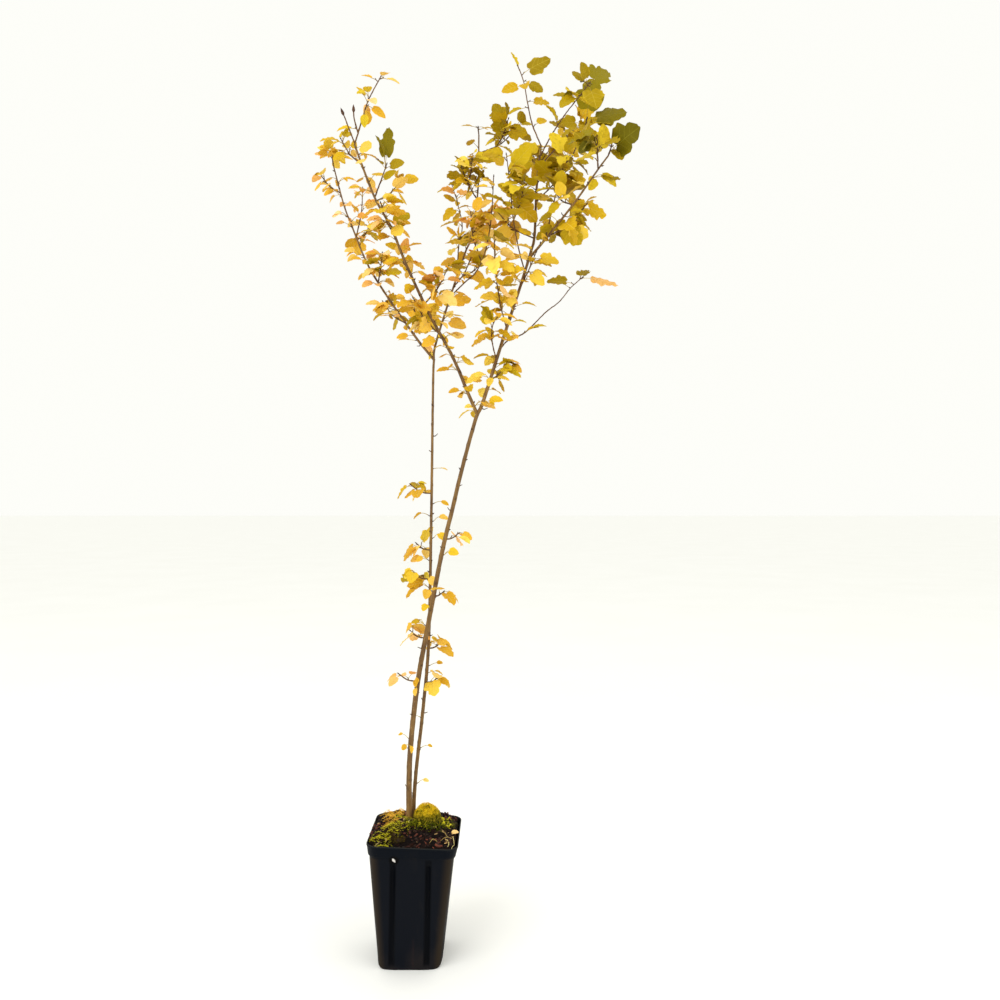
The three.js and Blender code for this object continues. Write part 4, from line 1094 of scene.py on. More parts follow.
# Leafy spurs that show on the lower stems: the limb, height, heading in degrees, leaves, blade, droop.
STEM_SPURS = [
    ("second_stem", 572, 5, 1, 12, 0.6), ("second_stem", 556, 180, 1, 18, 0.3),
    ("second_stem", 549, 10, 1, 11, 0.1), ("second_stem", 527, 350, 1, 13, 0.5),
    ("second_stem", 498, 200, 2, 14, 0.3), ("second_stem", 463, 190, 2, 26, 0.4),
    ("second_stem", 455, 255, 1, 14, 0.7), ("main_stem", 440, 250, 1, 12, 0.6),
    ("main_stem", 417, 185, 3, 12, 0.1), ("second_stem", 391, 10, 2, 13, 0.6),
    ("second_stem", 361, 0, 1, 10, 0.2), ("second_stem", 352, 350, 1, 10, 0.0),
    ("main_stem", 349, 265, 2, 11, 0.7), ("main_stem", 337, 285, 1, 10, 0.7),
    ("second_stem", 294, 215, 1, 8, 0.6), ("main_stem", 270, 170, 1, 8, 0.2),
    ("main_stem", 262, 262, 2, 9, 0.7), ("second_stem", 255, 350, 1, 8, 0.3),
    ("second_stem", 209, 350, 1, 10, -0.1), ("second_stem", 618, 20, 1, 9, 0.2),
    ("main_stem", 508, 340, 2, 12, 0.4),
]

# Leafy spurs set out along the boughs by rule: from and to as shares, millimetres between them, blade.
BOUGH_SPURS = [
    ("left_bough", 0.02, 0.98, 11, 15), ("outer_left_bough", 0.05, 0.98, 12, 15),
    ("inner_bough", 0.02, 0.96, 11, 16), ("leader", 0.0, 0.97, 15, 18),
    ("upright_bough", 0.08, 0.92, 13, 21), ("right_bough", 0.1, 0.9, 16, 20),
]
BOUGH_TONES = {
    "left_bough": ["orange", "orange", "orange", "gold"],
    "outer_left_bough": ["orange", "orange", "peach"],
    "inner_bough": ["orange", "gold", "gold"],
    "leader": ["orange", "gold", "gold"],
    "upright_bough": ["gold", "olive", "olive"],
    "right_bough": ["gold", "olive", "olive"],
}


# The look of the leaves that a mass has seen: a tint and a draw for each and, for a narrow one, a share
# of the usual width.
SEEN_TINTS = {
    "left_bough_tip": [("orange", 0.75), ("orange", 0.3), ("orange", 0.25), ("gold", 0.5)],
    "left_bough_green_twig": [("green", 0.7, 0.62), ("olive", 0.2), ("olive", 0.3)],
    "inner_bough_tip": [("gold", 0.3)],
    "outer_left_tip": [("peach", 0.3), ("orange", 0.5)],
    "leader_long_twig": [("peach", 0.5), ("olive", 0.2), ("olive", 0.1), ("gold", 0.4)],
    "upright_tip": [("olive", 0.0), ("gold", 0.1), ("olive", 0.1), ("gold", 0.0), ("olive", 0.4),
                    ("gold", 0.2)],
    "upright_right_twig": [("green", 0.75), ("olive", 0.1), ("olive", 0.3), ("olive", 0.5),
                           ("olive", 0.2)],
    "upright_back_twig": [("olive", 0.35), ("olive", 0.25)],
    "right_bough_tip": [("green", 0.2), ("olive", 0.4), ("olive", 0.2)],
    "right_inner_twig": [("green", 0.85), ("green", 0.6), ("olive", 0.2), ("olive", 0.2),
                         ("gold", 0.2)],
}

# Leaves that show plainly, straight off a limb or the first twig of a mass: where each grows, as the
# limb and a height or the mass and a share, its heading and rise in degrees, its blade, how far it
# faces the front, its tint and its draw.
LONE_LEAVES = [
    ("left_bough", 905, 10, 45, 21, 0.9, "olive", 0.3),
    ("left_bough", 996, -45, -12, 18, 0.9, "orange", 0.6),
    ("left_bough", 795, 180, 30, 20, 0.9, "gold", 0.5),
    ("left_bough", 780, 185, -25, 18, 0.9, "orange", 0.4),
    ("outer_left_bough", 815, 0, 25, 23, 0.9, "orange", 0.5),
    ("outer_left_bough", 834, 190, 5, 17, 0.8, "orange", 0.6),
    ("outer_left_bough", 795, 195, -10, 15, 0.8, "orange", 0.4),
    ("inner_bough", 838, 0, 10, 22, 0.8, "orange", 0.5),
    ("inner_bough", 815, -20, -20, 24, 0.7, "orange", 0.6),
    ("inner_bough", 826, 190, 15, 18, 0.8, "gold", 0.6),
    ("leader_left_twig", 0.85, 0, 50, 30, 0.9, "olive", 0.5),
    ("leader_left_twig", 0.6, 10, -35, 28, 0.9, "gold", 0.2),
    ("upright_bough", 975, 200, -40, 27, 0.9, "olive", 0.5),
    ("upright_bough", 1010, 190, 10, 26, 0.9, "olive", 0.4),
    ("inner_bough_tip", 0.3, -5, 5, 13, 0.3, "gold", 0.5),
    ("leader", 800, -20, 5, 15, 0.3, "olive", 0.7), ("leader", 742, -10, 25, 14, 0.4, "olive", 0.6),
    ("leader", 730, -20, -5, 16, 0.3, "gold", 0.8),
    ("leader_long_twig", 0.3, 0, 15, 17, 0.3, "olive", 0.8),
    ("leader_long_twig", 0.85, 150, 30, 16, 0.4, "olive", 0.2),
    ("left_bough", 936, 10, 22, 15, 0.7, "gold", 0.9),
    ("left_bough", 913, 190, 5, 17, 0.5, "peach", 0.4),
    ("left_bough_tip", 0.5, 270, -70, 16, 0.9, "olive", 0.8),
    ("left_bough_tip", 0.6, 180, 60, 15, 0.3, "gold", 0.3),
]

# The two side twigs at the end of the left bough are bare but for large dark buds at their ends.
BARE_END = 0.8
BARE_BUD = (9, 2.0)
BARE_DRAW = 0.2
KNOTS = 6


class Growth:
    """All the wood and leaves that replace the masses, gathered by kind."""

    def __init__(self):
        self.twigs, self.buds, self.stalks = Pile(), Pile(), Pile()
        self.blades = {tint: Pile() for tint in [*TONE_ORDER, "peach"]}

    def add_leaf(self, start, leaf, tint, seed, draw=None, width=1.0):
        """A leaf with its stalk, which comes from the end of its spur."""
        add_stalk(self.stalks, start, leaf)
        add_blade(self.blades[tint], leaf, seed, width * mix(0.9, 1.1, chance(seed, 44)), draw)

    def add_lone_leaf(self, axis, t, seen, tint, draw, seed):
        """A leaf that shows plainly, straight off its wood, with a bud where it stands."""
        leaf = seen_leaf(axis, t, *seen)
        add_bud(self.buds, leaf["root"], unit(leaf["stalk_way"] + UP), *LEAF_BUD, 0.5)
        self.add_leaf(leaf["root"], leaf, tint, seed, draw)

    def add_spray(self, leaf, mass, seed, look=None):
        """A spur on a twig, with its leaf and smaller ones beside it, all of one tint. A leaf with a
        look of its own mostly stands alone."""
        spray = [leaf]
        for n in range(COMPANIONS):
            if look and chance(seed, 46 + n) > SHOWN_COMPANION_SHARE:
                continue
            angle = (1 if n % 2 else -1) * mix(0.6, 1.5, chance(seed, 36 + n)) * (1 + 0.5 * n)
            size = mix(*COMPANION_SIZE, chance(seed, 37 + n))
            other = companion(leaf, seed + n * 0.7, size, angle)
            if chance(seed, 38 + n) < COMPANION_SHARE and keeps_to_space(other, mass):
                spray.append(other)
        foot = leaf["root"]
        tip = foot + unit(leaf["stalk_way"] + UP * 0.3) * SPUR * mix(0.5, 1.4, chance(seed, 40))
        places, faces = tube([foot, mix(foot, tip, 0.5), tip], SPUR_RADII, 5)
        self.twigs.add(places, faces, draw=0.5)
        add_bud(self.buds, tip, unit(leaf["stalk_way"] + UP), *LEAF_BUD, chance(seed, 41))
        tint, draw, *width = look or (tint_of(mass["tone"], seed), None)
        for n, one in enumerate(spray):
            self.add_leaf(tip, one, tint, seed + n * 3.1, draw, *width)

    def add_limb_spur(self, axis, t, heading, count, blade, droop, tint, seed):
        """A short spur straight out of a limb, with a few small leaves that spread from its end."""
        out, along = out_of(axis, t, heading)
        foot = axis.point(t) + out * axis.radius(t) * 0.6
        tip = foot + unit(out + along * 0.6) * mix(*LIMB_SPUR, chance(seed, 2))
        places, faces = tube([foot, mix(foot, tip, 0.5), tip], LIMB_SPUR_RADII, 5)
        self.twigs.add(places, faces, draw=0.6)
        for n in range(count):
            turn = heading + (n - (count - 1) / 2) * LIMB_SPUR_FAN
            turn += (chance(seed, 10 + n) - 0.5) * LIMB_SPUR_FAN
            stalk_way = unit(way(turn, 0) + UP * mix(0.0, 0.8, chance(seed, 20 + n)))
            blade_way = unit(way(turn, 0) + UP * (mix(0.25, -0.35, chance(seed, 30 + n)) - droop))
            facing = UP + np.array([chance(seed, 50 + n) - 0.5, chance(seed, 60 + n) - 0.75, 0]) * 2.2
            size = blade * mix(0.7, 1.15, chance(seed, 70 + n))
            leaf = stand_leaf(tip, stalk_way, blade_way, facing, size)
            self.add_leaf(tip, leaf, tint, seed + n * 1.3)

    def finish(self):
        """Makes the pieces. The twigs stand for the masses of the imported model."""
        wood = self.twigs.piece("twigs", FINISHES["twig"], "bark", 70)
        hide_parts(*[mass["name"] for mass in MASSES])
        self.buds.piece("buds", FINISHES["bud"], "bark", 70)
        self.stalks.piece("leaf_stalks", FINISHES["stalk"], "leaf_gold", 70)
        slots = {"peach": "leaf_orange", **{tone: "leaf_" + tone for tone in TONE_ORDER}}
        for tint, pile in self.blades.items():
            pile.piece("leaves_" + tint, FINISHES[tint], slots[tint], 75)


def add_last_leaf(growth, axis, end):
    """A narrow olive leaf that carries a twig's line on from the end of its wood to the end of its
    axis, seen nearly from its edge."""
    root = axis.point(end)
    reach = axis.point(1) - root
    blade_way = unit(reach)
    side = unit(np.cross(blade_way, np.array([1.0, 0.2, 0])))
    leaf = {
        "neck": root,
        "blade_way": blade_way,
        "up": np.cross(side, blade_way),
        "side": side,
        "blade": float(np.linalg.norm(reach)),
    }
    add_blade(growth.blades["olive"], leaf, 7, LAST_LEAF_WIDTH, LAST_LEAF_DRAW)


def dress_mass(growth, mass):
    """A mass's sprays, each tried until it finds room, and then the wood of its twigs."""
    looks = SEEN_TINTS.get(mass["name"], [])
    for k in range(mass.get("shown", mass["leaves"])):
        look = looks[k] if k < len(looks) else None
        for attempt in range(MOST_TRIES):
            leaf = leaf_on(mass, k, attempt)
            if keeps_to_space(leaf, mass):
                growth.add_spray(leaf, mass, mass["seed"] * 31 + k, look)
                break
    knots = [mix(0.1, 0.95, (m + chance(mass["seed"], m)) / KNOTS) for m in range(KNOTS)]
    for n, axis in enumerate(mass["axes"]):
        bare = n > 0 and mass.get("bare_sides")
        end = BARE_END if bare else mass.get("wood_to", 1)
        add_twig(growth.twigs, growth.buds, axis, mass["seed"] + n, knots, end)
        if bare:
            add_bud(growth.buds, axis.point(end - 0.1), axis.tangent(end), *BARE_BUD, BARE_DRAW)
        elif mass["name"] == "upright_tip":
            add_last_leaf(growth, axis, end)


def dress_limbs(growth):
    """The leaves, leafy spurs and stubs that grow straight out of the limbs."""
    for n, (place, at, heading, rise, blade, face, tint, draw) in enumerate(LONE_LEAVES):
        if place in LIMBS:
            axis, t = LIMBS[place], share_at(LIMBS[place], at)
        else:
            axis, t = next(mass["axes"][0] for mass in MASSES if mass["name"] == place), at
        growth.add_lone_leaf(axis, t, (heading, rise, blade, face), tint, draw, 700 + n)
    for n, (name, height, heading, count, blade, droop) in enumerate(STEM_SPURS):
        limb = LIMBS[name]
        tint = "orange" if chance(n, 90) < 0.75 else "gold"
        turn = math.radians(heading)
        growth.add_limb_spur(limb, share_at(limb, height), turn, count, blade, droop, tint, 900 + n)
    for order, (name, low, high, step, blade) in enumerate(BOUGH_SPURS):
        limb = LIMBS[name]
        tones = BOUGH_TONES[name]
        count = int((high - low) * limb.length / step)
        for n in range(count):
            seed = 1000 + order * 97 + n
            t = mix(low, high, (n + 0.8 * chance(seed, 1)) / count)
            tint = tones[int(chance(seed, 3) * len(tones))]
            turn = n * GOLDEN_ANGLE + order
            leaves = 1 + int(chance(seed, 4) * 2.4)
            growth.add_limb_spur(limb, t, turn, leaves, blade, LIMB_SPUR_DROOP, tint, seed)
    for order, name in enumerate(LIMBS):
        add_stubs(growth.twigs, growth.buds, name, order + 1)


def grow():
    growth = Growth()
    for mass in MASSES:
        dress_mass(growth, mass)
    dress_limbs(growth)
    growth.finish()


# The pot

POT_HEIGHT = 157
COLLAR_HEIGHT = 14
COLLAR_FOOT = POT_HEIGHT - COLLAR_HEIGHT
RIM_HALF = 56.2
COLLAR_FOOT_HALF = 53.6
BODY_TOP_HALF = 52.2
LEAN = 4.2
BASE_HALF = 39
GRAIN_SPOT = (-16.6, -52.3, 140.7)
POT_CORNER = 13
POT_WALL = 1.5
GROOVE_AT = 21.5
GROOVE_DEPTH = 3.4
GROOVE_LINES = [-3.8, -2.1, 0, 2.1, 3.8]
GROOVE_SHARES = [0, 0.6, 1, 0.6, 0]
GROOVE_REACH = 4
POT_LEVELS = [3, 6, 12, 40, 80, 120, 131, 136, 139]
GROOVED = {6: 0.5, 12: 1, 40: 1, 80: 1, 120: 1, 131: 1, 136: 0.45}
FOOT_EDGE = {0: 0.962, 3: 0.992}
FOOT_ROUND = 0.2
ROUND_UNTIL = 100
COLLAR_TILT = 0.04
DRAIN_HOLES = [(0, 0, 6), (21, 21, 4.5), (-21, 21, 4.5), (21, -21, 4.5), (-21, -21, 4.5)]
DRAIN_DEPTH = 2.5
TOUCH = 0.02 * MM


def half_at(z):
    """Half the width of the pot's body at a height."""
    return mix(BASE_HALF, BODY_TOP_HALF, z / COLLAR_FOOT)


def lean_at(z):
    """How far the soft pot leans to the right at a height."""
    return LEAN * z / POT_HEIGHT


def pick(thing, kind, wanted):
    """In edit mode, selects only the corners, edges or faces that the test wants."""
    bpy.ops.mesh.select_mode(type={"verts": "VERT", "edges": "EDGE", "faces": "FACE"}[kind])
    bpy.ops.mesh.select_all(action="DESELECT")
    shape = bmesh.from_edit_mesh(thing.data)
    for item in getattr(shape, kind):
        if wanted(item):
            item.select_set(True)
    shape.select_flush_mode()
    bmesh.update_edit_mesh(thing.data)


def apply(thing, kind, **settings):
    """Adds a modifier with its settings to a piece and applies it."""
    modifier = thing.modifiers.new(kind.lower(), kind)
    for name, value in settings.items():
        setattr(modifier, name, value)
    only(thing)
    bpy.ops.object.modifier_apply(modifier=modifier.name)


def pot_piece():
    """The pot: a straight box with rounded corners, cut into levels and lines, then drawn to shape."""
    bpy.ops.object.select_all(action="DESELECT")
    bpy.ops.mesh.primitive_cube_add(size=1, location=(0, 0, 0))
    pot = bpy.context.object
    pot.name = "pot_shell"
    bpy.ops.object.mode_set(mode="EDIT")
    wide = 2 * BODY_TOP_HALF * MM
    bpy.ops.transform.resize(value=(wide, wide, COLLAR_FOOT * MM))
    bpy.ops.transform.translate(value=(0, 0, COLLAR_FOOT * MM / 2))
    pick(pot, "edges", lambda edge: abs(edge.verts[0].co.z - edge.verts[1].co.z) > COLLAR_FOOT * MM / 2)
    bpy.ops.mesh.bevel(offset=POT_CORNER * MM, segments=7, affect="EDGES")
    for z in POT_LEVELS:
        bpy.ops.mesh.select_all(action="SELECT")
        bpy.ops.mesh.bisect(plane_co=(0, 0, z * MM), plane_no=(0, 0, 1))
    for side in (-1, 1):
        for line in GROOVE_LINES:
            at = (side * GROOVE_AT + line) * MM
            for normal in ((1, 0, 0), (0, 1, 0)):
                bpy.ops.mesh.select_all(action="SELECT")
                bpy.ops.mesh.bisect(plane_co=(at, at, 0), plane_no=normal)
    sink_grooves(pot)
    taper(pot)
    add_collar(pot)
    bpy.ops.object.mode_set(mode="OBJECT")
    drain_holes(pot)
    apply(pot, "BEVEL", width=0.55 * MM, segments=2, limit_method="ANGLE", angle_limit=math.radians(38))
    finish_piece(pot, FINISHES["pot"], 35)
    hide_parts("pot")


def sink_grooves(pot):
    """Presses two grooves a side into the straight-sided body, by moving their lines inwards."""
    for z, share in GROOVED.items():
        for line, depth in zip(GROOVE_LINES, GROOVE_SHARES):
            if depth == 0:
                continue
            for axis, out in ((0, 1), (1, 0)):
                for face in (-1, 1):
                    def on_line(corner):
                        place = corner.co
                        at_level = abs(place.z - z * MM) < TOUCH
                        on_face = abs(place[out] * face - BODY_TOP_HALF * MM) < TOUCH
                        spots = [(side * GROOVE_AT + line) * MM for side in (-1, 1)]
                        off = min(abs(place[axis] - spot) for spot in spots)
                        return at_level and on_face and off < TOUCH

                    pick(pot, "verts", on_line)
                    shift = [0, 0, 0]
                    shift[out] = -face * depth * share * GROOVE_DEPTH * MM
                    bpy.ops.transform.translate(value=shift)


def taper(pot):
    """Draws each level of the body in to its width, rounder towards the foot. The grooves stay
    upright."""
    for z in [0, *POT_LEVELS]:
        def at_level(corner):
            return abs(corner.co.z - z * MM) < TOUCH

        pick(pot, "verts", at_level)
        share = half_at(z) / BODY_TOP_HALF * FOOT_EDGE.get(z, 1)
        bpy.ops.transform.resize(value=(share, share, 1), center_override=(0, 0, z * MM))
        for across, out in ((0, 1), (1, 0)):
            def in_groove(corner):
                place = abs(corner.co[across]) / share / MM
                deep = abs(corner.co[out]) / share / MM
                beside = abs(place - GROOVE_AT) < GROOVE_REACH
                return at_level(corner) and deep > 0.85 * BODY_TOP_HALF and beside

            pick(pot, "verts", in_groove)
            back = [1, 1, 1]
            back[across] = 1 / share
            bpy.ops.transform.resize(value=back, center_override=(0, 0, z * MM))

        def on_outline(corner):
            outer = 0.8 * share * BODY_TOP_HALF * MM
            return at_level(corner) and max(abs(corner.co.x), abs(corner.co.y)) > outer

        pick(pot, "verts", on_outline)
        bpy.ops.transform.tosphere(value=FOOT_ROUND * max(0.0, 1 - z / ROUND_UNTIL))
        pick(pot, "verts", at_level)
        bpy.ops.transform.translate(value=(lean_at(z) * MM, 0, 0))


def add_collar(pot):
    """Draws the collar out of the body's top, turns its lip in, and takes the wall down inside past the
    soil. The soft pot's collar is a little lower on the right."""
    top = (COLLAR_FOOT - 0.1) * MM
    pick(pot, "verts", lambda corner: corner.co.z > top)
    bpy.ops.transform.translate(value=(lean_at(COLLAR_FOOT) * MM, 0, 0))
    pick(pot, "faces", lambda face: face.normal.z > 0.9 and face.calc_center_median().z > top)
    levels = [
        (COLLAR_FOOT, BODY_TOP_HALF),
        (COLLAR_FOOT, COLLAR_FOOT_HALF),
        (COLLAR_FOOT + 1.2, COLLAR_FOOT_HALF + 0.35),
        (POT_HEIGHT - 2.6, RIM_HALF - 0.5),
        (POT_HEIGHT - 2.1, RIM_HALF),
        (POT_HEIGHT - 0.4, RIM_HALF),
        (POT_HEIGHT, RIM_HALF - 0.5),
        (POT_HEIGHT, RIM_HALF - 1.2),
        (POT_HEIGHT - 1, RIM_HALF - POT_WALL),
        (COLLAR_FOOT, COLLAR_FOOT_HALF - POT_WALL),
        (COLLAR_FOOT - 10, BODY_TOP_HALF - POT_WALL - 1.8),
    ]
    for (z, half), (next_z, next_half) in zip(levels, levels[1:]):
        step = ((lean_at(next_z) - lean_at(z)) * MM, 0, (next_z - z) * MM)
        bpy.ops.mesh.extrude_region_move(TRANSFORM_OT_translate={"value": step})
        share = next_half / half
        bpy.ops.transform.resize(value=(share, share, 1), center_override=(lean_at(next_z) * MM, 0, 0))
    pick(pot, "verts", lambda corner: corner.co.z > (COLLAR_FOOT - 11) * MM)
    middle = (lean_at(COLLAR_FOOT) * MM, 0, COLLAR_FOOT * MM)
    bpy.ops.transform.rotate(value=-COLLAR_TILT, orient_axis="Y", center_override=middle)


def drain_holes(pot):
    """Blind round holes in the underside, cut by round bars that are joined first."""
    cutters = []
    for x, y, radius in DRAIN_HOLES:
        bpy.ops.object.select_all(action="DESELECT")
        bpy.ops.mesh.primitive_cylinder_add(
            vertices=20, radius=radius * MM, depth=2 * DRAIN_DEPTH * MM, location=(x * MM, y * MM, 0))
        cutters.append(bpy.context.object)
    for cutter in cutters:
        cutter.select_set(True)
    bpy.context.view_layer.objects.active = cutters[0]
    bpy.ops.object.join()
    cutter = bpy.context.object
    apply(pot, "BOOLEAN", operation="DIFFERENCE", object=cutter, solver="EXACT")
    bpy.data.objects.remove(cutter)


# Soil, moss and what lies on them

# Bits are dropped from above the moss, and lie between the soil's lowest and highest place, clear of
# the stems' foot. Moss keeps inside the collar.
DROP_FROM = 260
SOIL_HEIGHTS = (146, 169)
STEM_FOOT = (-4, 15)
STEM_CLEAR = 6
MOSS_EDGE = 53.5

SOIL_CUT = 140
SOIL_EDGE_FROM = 150
HEAP_OUT = (34, 48)
HEAP_RISE = 3.6
SUNK_DEPTH = 2.5
SUNK_FRONT = (-38, -44)
SUNK_LEFT = (18, 10)
MOSS_SHOOT = 2.0
MOSS_GRID = 1.3
SOIL_GRID = 1.15
SHOOT_LEAVES = 5
SHOOT_LEAF_LENGTH = (1.5, 0.9)
SHOOT_LEAF_HALF = 0.28
FEATHER_LEAF_LENGTH = (2.9, 1.0)
FEATHER_LEAF_HALF = 0.42
FEATHER_LIFT = (0.6, 3.2)
RIM_LIFT = 0.8


def copy_of(node, name):
    """A copy of a node's mesh, its loose triangles merged, as a new object."""
    copy = bpy.data.objects.new(name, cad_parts[node].data.copy())
    bpy.context.scene.collection.objects.link(copy)
    only(copy)
    bpy.ops.object.mode_set(mode="EDIT")
    bpy.ops.mesh.select_all(action="SELECT")
    bpy.ops.mesh.remove_doubles(threshold=1e-6)
    bpy.ops.object.mode_set(mode="OBJECT")
    return copy


def roughen(thing, coarse, fine, seed):
    """Moves each corner of the mesh along its normal by seeded noise, a coarse one and then a fine one,
    each given by its depth and size."""
    mesh = thing.data
    count = len(mesh.vertices)
    places = np.zeros(count * 3)
    normals = np.zeros(count * 3)
    mesh.vertices.foreach_get("co", places)
    mesh.vertices.foreach_get("normal", normals)
    places, normals = places.reshape(-1, 3), normals.reshape(-1, 3)
    for depth, size in (coarse, fine):
        shift = Vector((seed, 0, seed))
        lift = np.array([noise.noise(Vector(p / (size * MM)) + shift) for p in places])
        places = places + normals * (lift * depth * MM)[:, None]
    mesh.vertices.foreach_set("co", places.ravel())
    mesh.update()


def soil_piece():
    """The soil, without the part that fills the pot below what shows, heaped and crumbly."""
    soil = copy_of("soil", "soil_heap")
    bpy.ops.object.mode_set(mode="EDIT")
    bpy.ops.mesh.select_all(action="SELECT")
    cut = (0, 0, SOIL_CUT * MM)
    bpy.ops.mesh.bisect(plane_co=cut, plane_no=(0, 0, 1), use_fill=True, clear_inner=True)
    bpy.ops.object.mode_set(mode="OBJECT")
    apply(soil, "REMESH", mode="VOXEL", voxel_size=SOIL_GRID * MM)
    heap_edges(soil)
    roughen(soil, (2.2, 8), (1.5, 2.4), 4)
    finish_piece(soil, FINISHES["soil"], 80)
    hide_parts("soil")
    return soil


def climb(value, low, high):
    """0 at low and 1 at high, straight between, either way round."""
    return min(1.0, max(0.0, (value - low) / (high - low)))


def heap_edges(soil):
    """Raises the soil towards the rim, but for the left half of the front, where it has sunk."""
    for corner in soil.data.vertices:
        x, y, z = (value / MM for value in corner.co)
        if z < SOIL_EDGE_FROM:
            continue
        off = x - lean_at(z)
        share = climb(max(abs(off), abs(y)), *HEAP_OUT)
        sunk = climb(y, *SUNK_FRONT) * climb(x, *SUNK_LEFT)
        rise = HEAP_RISE * (1 - sunk) - SUNK_DEPTH * sunk - COLLAR_TILT * off
        corner.co.z += rise * share * MM


def tree_of(*things):
    """A tree of the faces of a few things, to drop bits on."""
    places = []
    faces = []
    for thing in things:
        first = len(places)
        places += [corner.co for corner in thing.data.vertices]
        faces += [[first + corner for corner in face.vertices] for face in thing.data.polygons]
    return BVHTree.FromPolygons(places, faces)


def ground_under(tree, x, y):
    """Where a bit dropped at x, y comes to lie, in millimetres."""
    hit, _, _, _ = tree.ray_cast(Vector((x * MM, y * MM, DROP_FROM * MM)), Vector((0, 0, -1)))
    return None if hit is None else np.array(hit) / MM


def flatten(thing, tree, height):
    """Lowers what stands over the ground to a share of its height."""
    for corner in thing.data.vertices:
        under = ground_under(tree, corner.co.x / MM, corner.co.y / MM)
        if under is not None and corner.co.z / MM > under[2]:
            corner.co.z = mix(under[2] * MM, corner.co.z, height)


def moss_piece(node, finish, shoots, seed, under=None, height=1.0):
    """A cushion of moss: its body, flattened where a ground is given, and short shoots all over it."""
    body = copy_of(node, node + "_body")
    apply(body, "REMESH", mode="VOXEL", voxel_size=MOSS_GRID * MM)
    if under:
        flatten(body, under, height)
    roughen(body, (1.6, 9), (0.9, 2.2), seed)
    finish_piece(body, finish, 80)
    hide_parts(node)
    mesh = body.data
    areas = np.array([p.area for p in mesh.polygons])
    steps = np.cumsum(areas) / areas.sum()
    pile = Pile()
    for n in range(shoots):
        face = mesh.polygons[int(np.searchsorted(steps, chance(seed, n)))]
        if face.normal.z < -0.25:
            continue
        foot = np.array(face.center) / MM
        astray = np.array([chance(seed + 1, n) - 0.5, chance(seed + 2, n) - 0.5, 0])
        out = unit(np.array(face.normal) + UP * 0.35 + astray * 0.9)
        reach = MOSS_SHOOT * mix(0.6, 1.3, chance(seed + 3, n))
        add_moss_shoot(pile, foot, out, reach, seed * 1000 + n)
    pile.piece(node + "_body_shoots", finish, "moss", 60)
    return body


def add_moss_shoot(pile, foot, out, reach, seed):
    """A shoot of moss: a short stem with small pointed leaves in a spiral."""
    side = unit(np.cross(out, way(seed * GOLDEN_ANGLE, 0.1)))
    other = np.cross(out, side)
    draw = chance(seed, 5)
    for n in range(SHOOT_LEAVES):
        at = foot + out * reach * (0.15 + 0.19 * n)
        turn = n * GOLDEN_ANGLE
        across = side * math.cos(turn) + other * math.sin(turn)
        width = unit(np.cross(across, out)) * SHOOT_LEAF_HALF
        leaf = unit(across + out * 0.9) * mix(*SHOOT_LEAF_LENGTH, n / (SHOOT_LEAVES - 1))
        pile.add([at - width, at + width, at + leaf], [[0, 1, 2]], draw=draw)


def chip_form(seed):
    """One bit of bark: a cube beaten out of shape, a few dozen faces."""
    bpy.ops.object.select_all(action="DESELECT")
    bpy.ops.mesh.primitive_cube_add(size=1, location=(0, 0, 0))
    chip = bpy.context.object
    bpy.ops.object.mode_set(mode="EDIT")
    bpy.ops.mesh.select_all(action="SELECT")
    bpy.ops.mesh.subdivide(number_cuts=1, smoothness=0.4, fractal=0.6, seed=seed)
    bpy.ops.object.mode_set(mode="OBJECT")
    places = np.array([corner.co[:] for corner in chip.data.vertices])
    faces = [list(face.vertices) for face in chip.data.polygons]
    bpy.data.objects.remove(chip)
    return places, faces


def turned(seed, tilt):
    """A seeded turn: any way round, and up to tilt out of level."""
    turn = Matrix.Rotation(chance(seed, 1) * 2 * math.pi, 3, "Z")
    lean = Matrix.Rotation((chance(seed, 2) - 0.5) * 2 * tilt, 3, "X")
    return np.array(turn @ lean)


# Where bits lie on the soil: from and to in x, from and to in y, and how many.
CHIP_SPOTS = [
    (-51, -38, -42, 8, 34), (-2, 44, -52, -34, 34), (-10, 14, -2, 30, 14), (36, 55, 18, 48, 22),
    (-30, 10, 30, 50, 12), (-46, 52, -48, 48, 26), (-50, -30, -52, -44, 8),
]
CRUMB_SPOTS = [(-49, 55, -51, 51, 520)]
WOOD_SPOTS = [(-46, 54, -48, 48, 14), (28, 54, -50, 20, 14), (-17, 12, 0, 10, 16)]

# The size of bits: their least and most length, and their width and thickness as shares of it.
CHIP_SIZE = (2.2, 6.5, 0.42, 0.28)
CRUMB_SIZE = (1.2, 3, 0.8, 0.7)
WOOD_SIZE = (2, 6, 0.35, 0.25)
BIT_FORMS = 4
BIT_TILT = 0.7


def lies_on_soil(spot):
    low, high = SOIL_HEIGHTS
    return low < spot[2] < high and math.dist(spot[:2], STEM_FOOT) >= STEM_CLEAR


def scatter(name, finish, tree, spots, size, seed):
    """Bits dropped on the soil, each of one of a few forms, in its own size and turn."""
    least, most, wide, thick = size
    forms = [chip_form(seed + n) for n in range(BIT_FORMS)]
    pile = Pile()
    for order, (left, right, front, back, count) in enumerate(spots):
        for n in range(count):
            draw = seed + order * 0.37
            x = mix(left, right, chance(draw, n * 2))
            y = mix(front, back, chance(draw, n * 2 + 1))
            spot = ground_under(tree, x, y)
            if spot is None or not lies_on_soil(spot):
                continue
            length = mix(least, most, chance(draw + 1, n) ** 2)
            places, faces = forms[n % BIT_FORMS]
            shape = places * np.array([wide * length, length, thick * length])
            lift = UP * 0.25 * length * thick
            places = shape @ turned(draw * 100 + n, BIT_TILT).T + spot + lift
            pile.add(places, faces, draw=chance(draw + 2, n))
    pile.piece(name, finish, "potting_soil", 40)


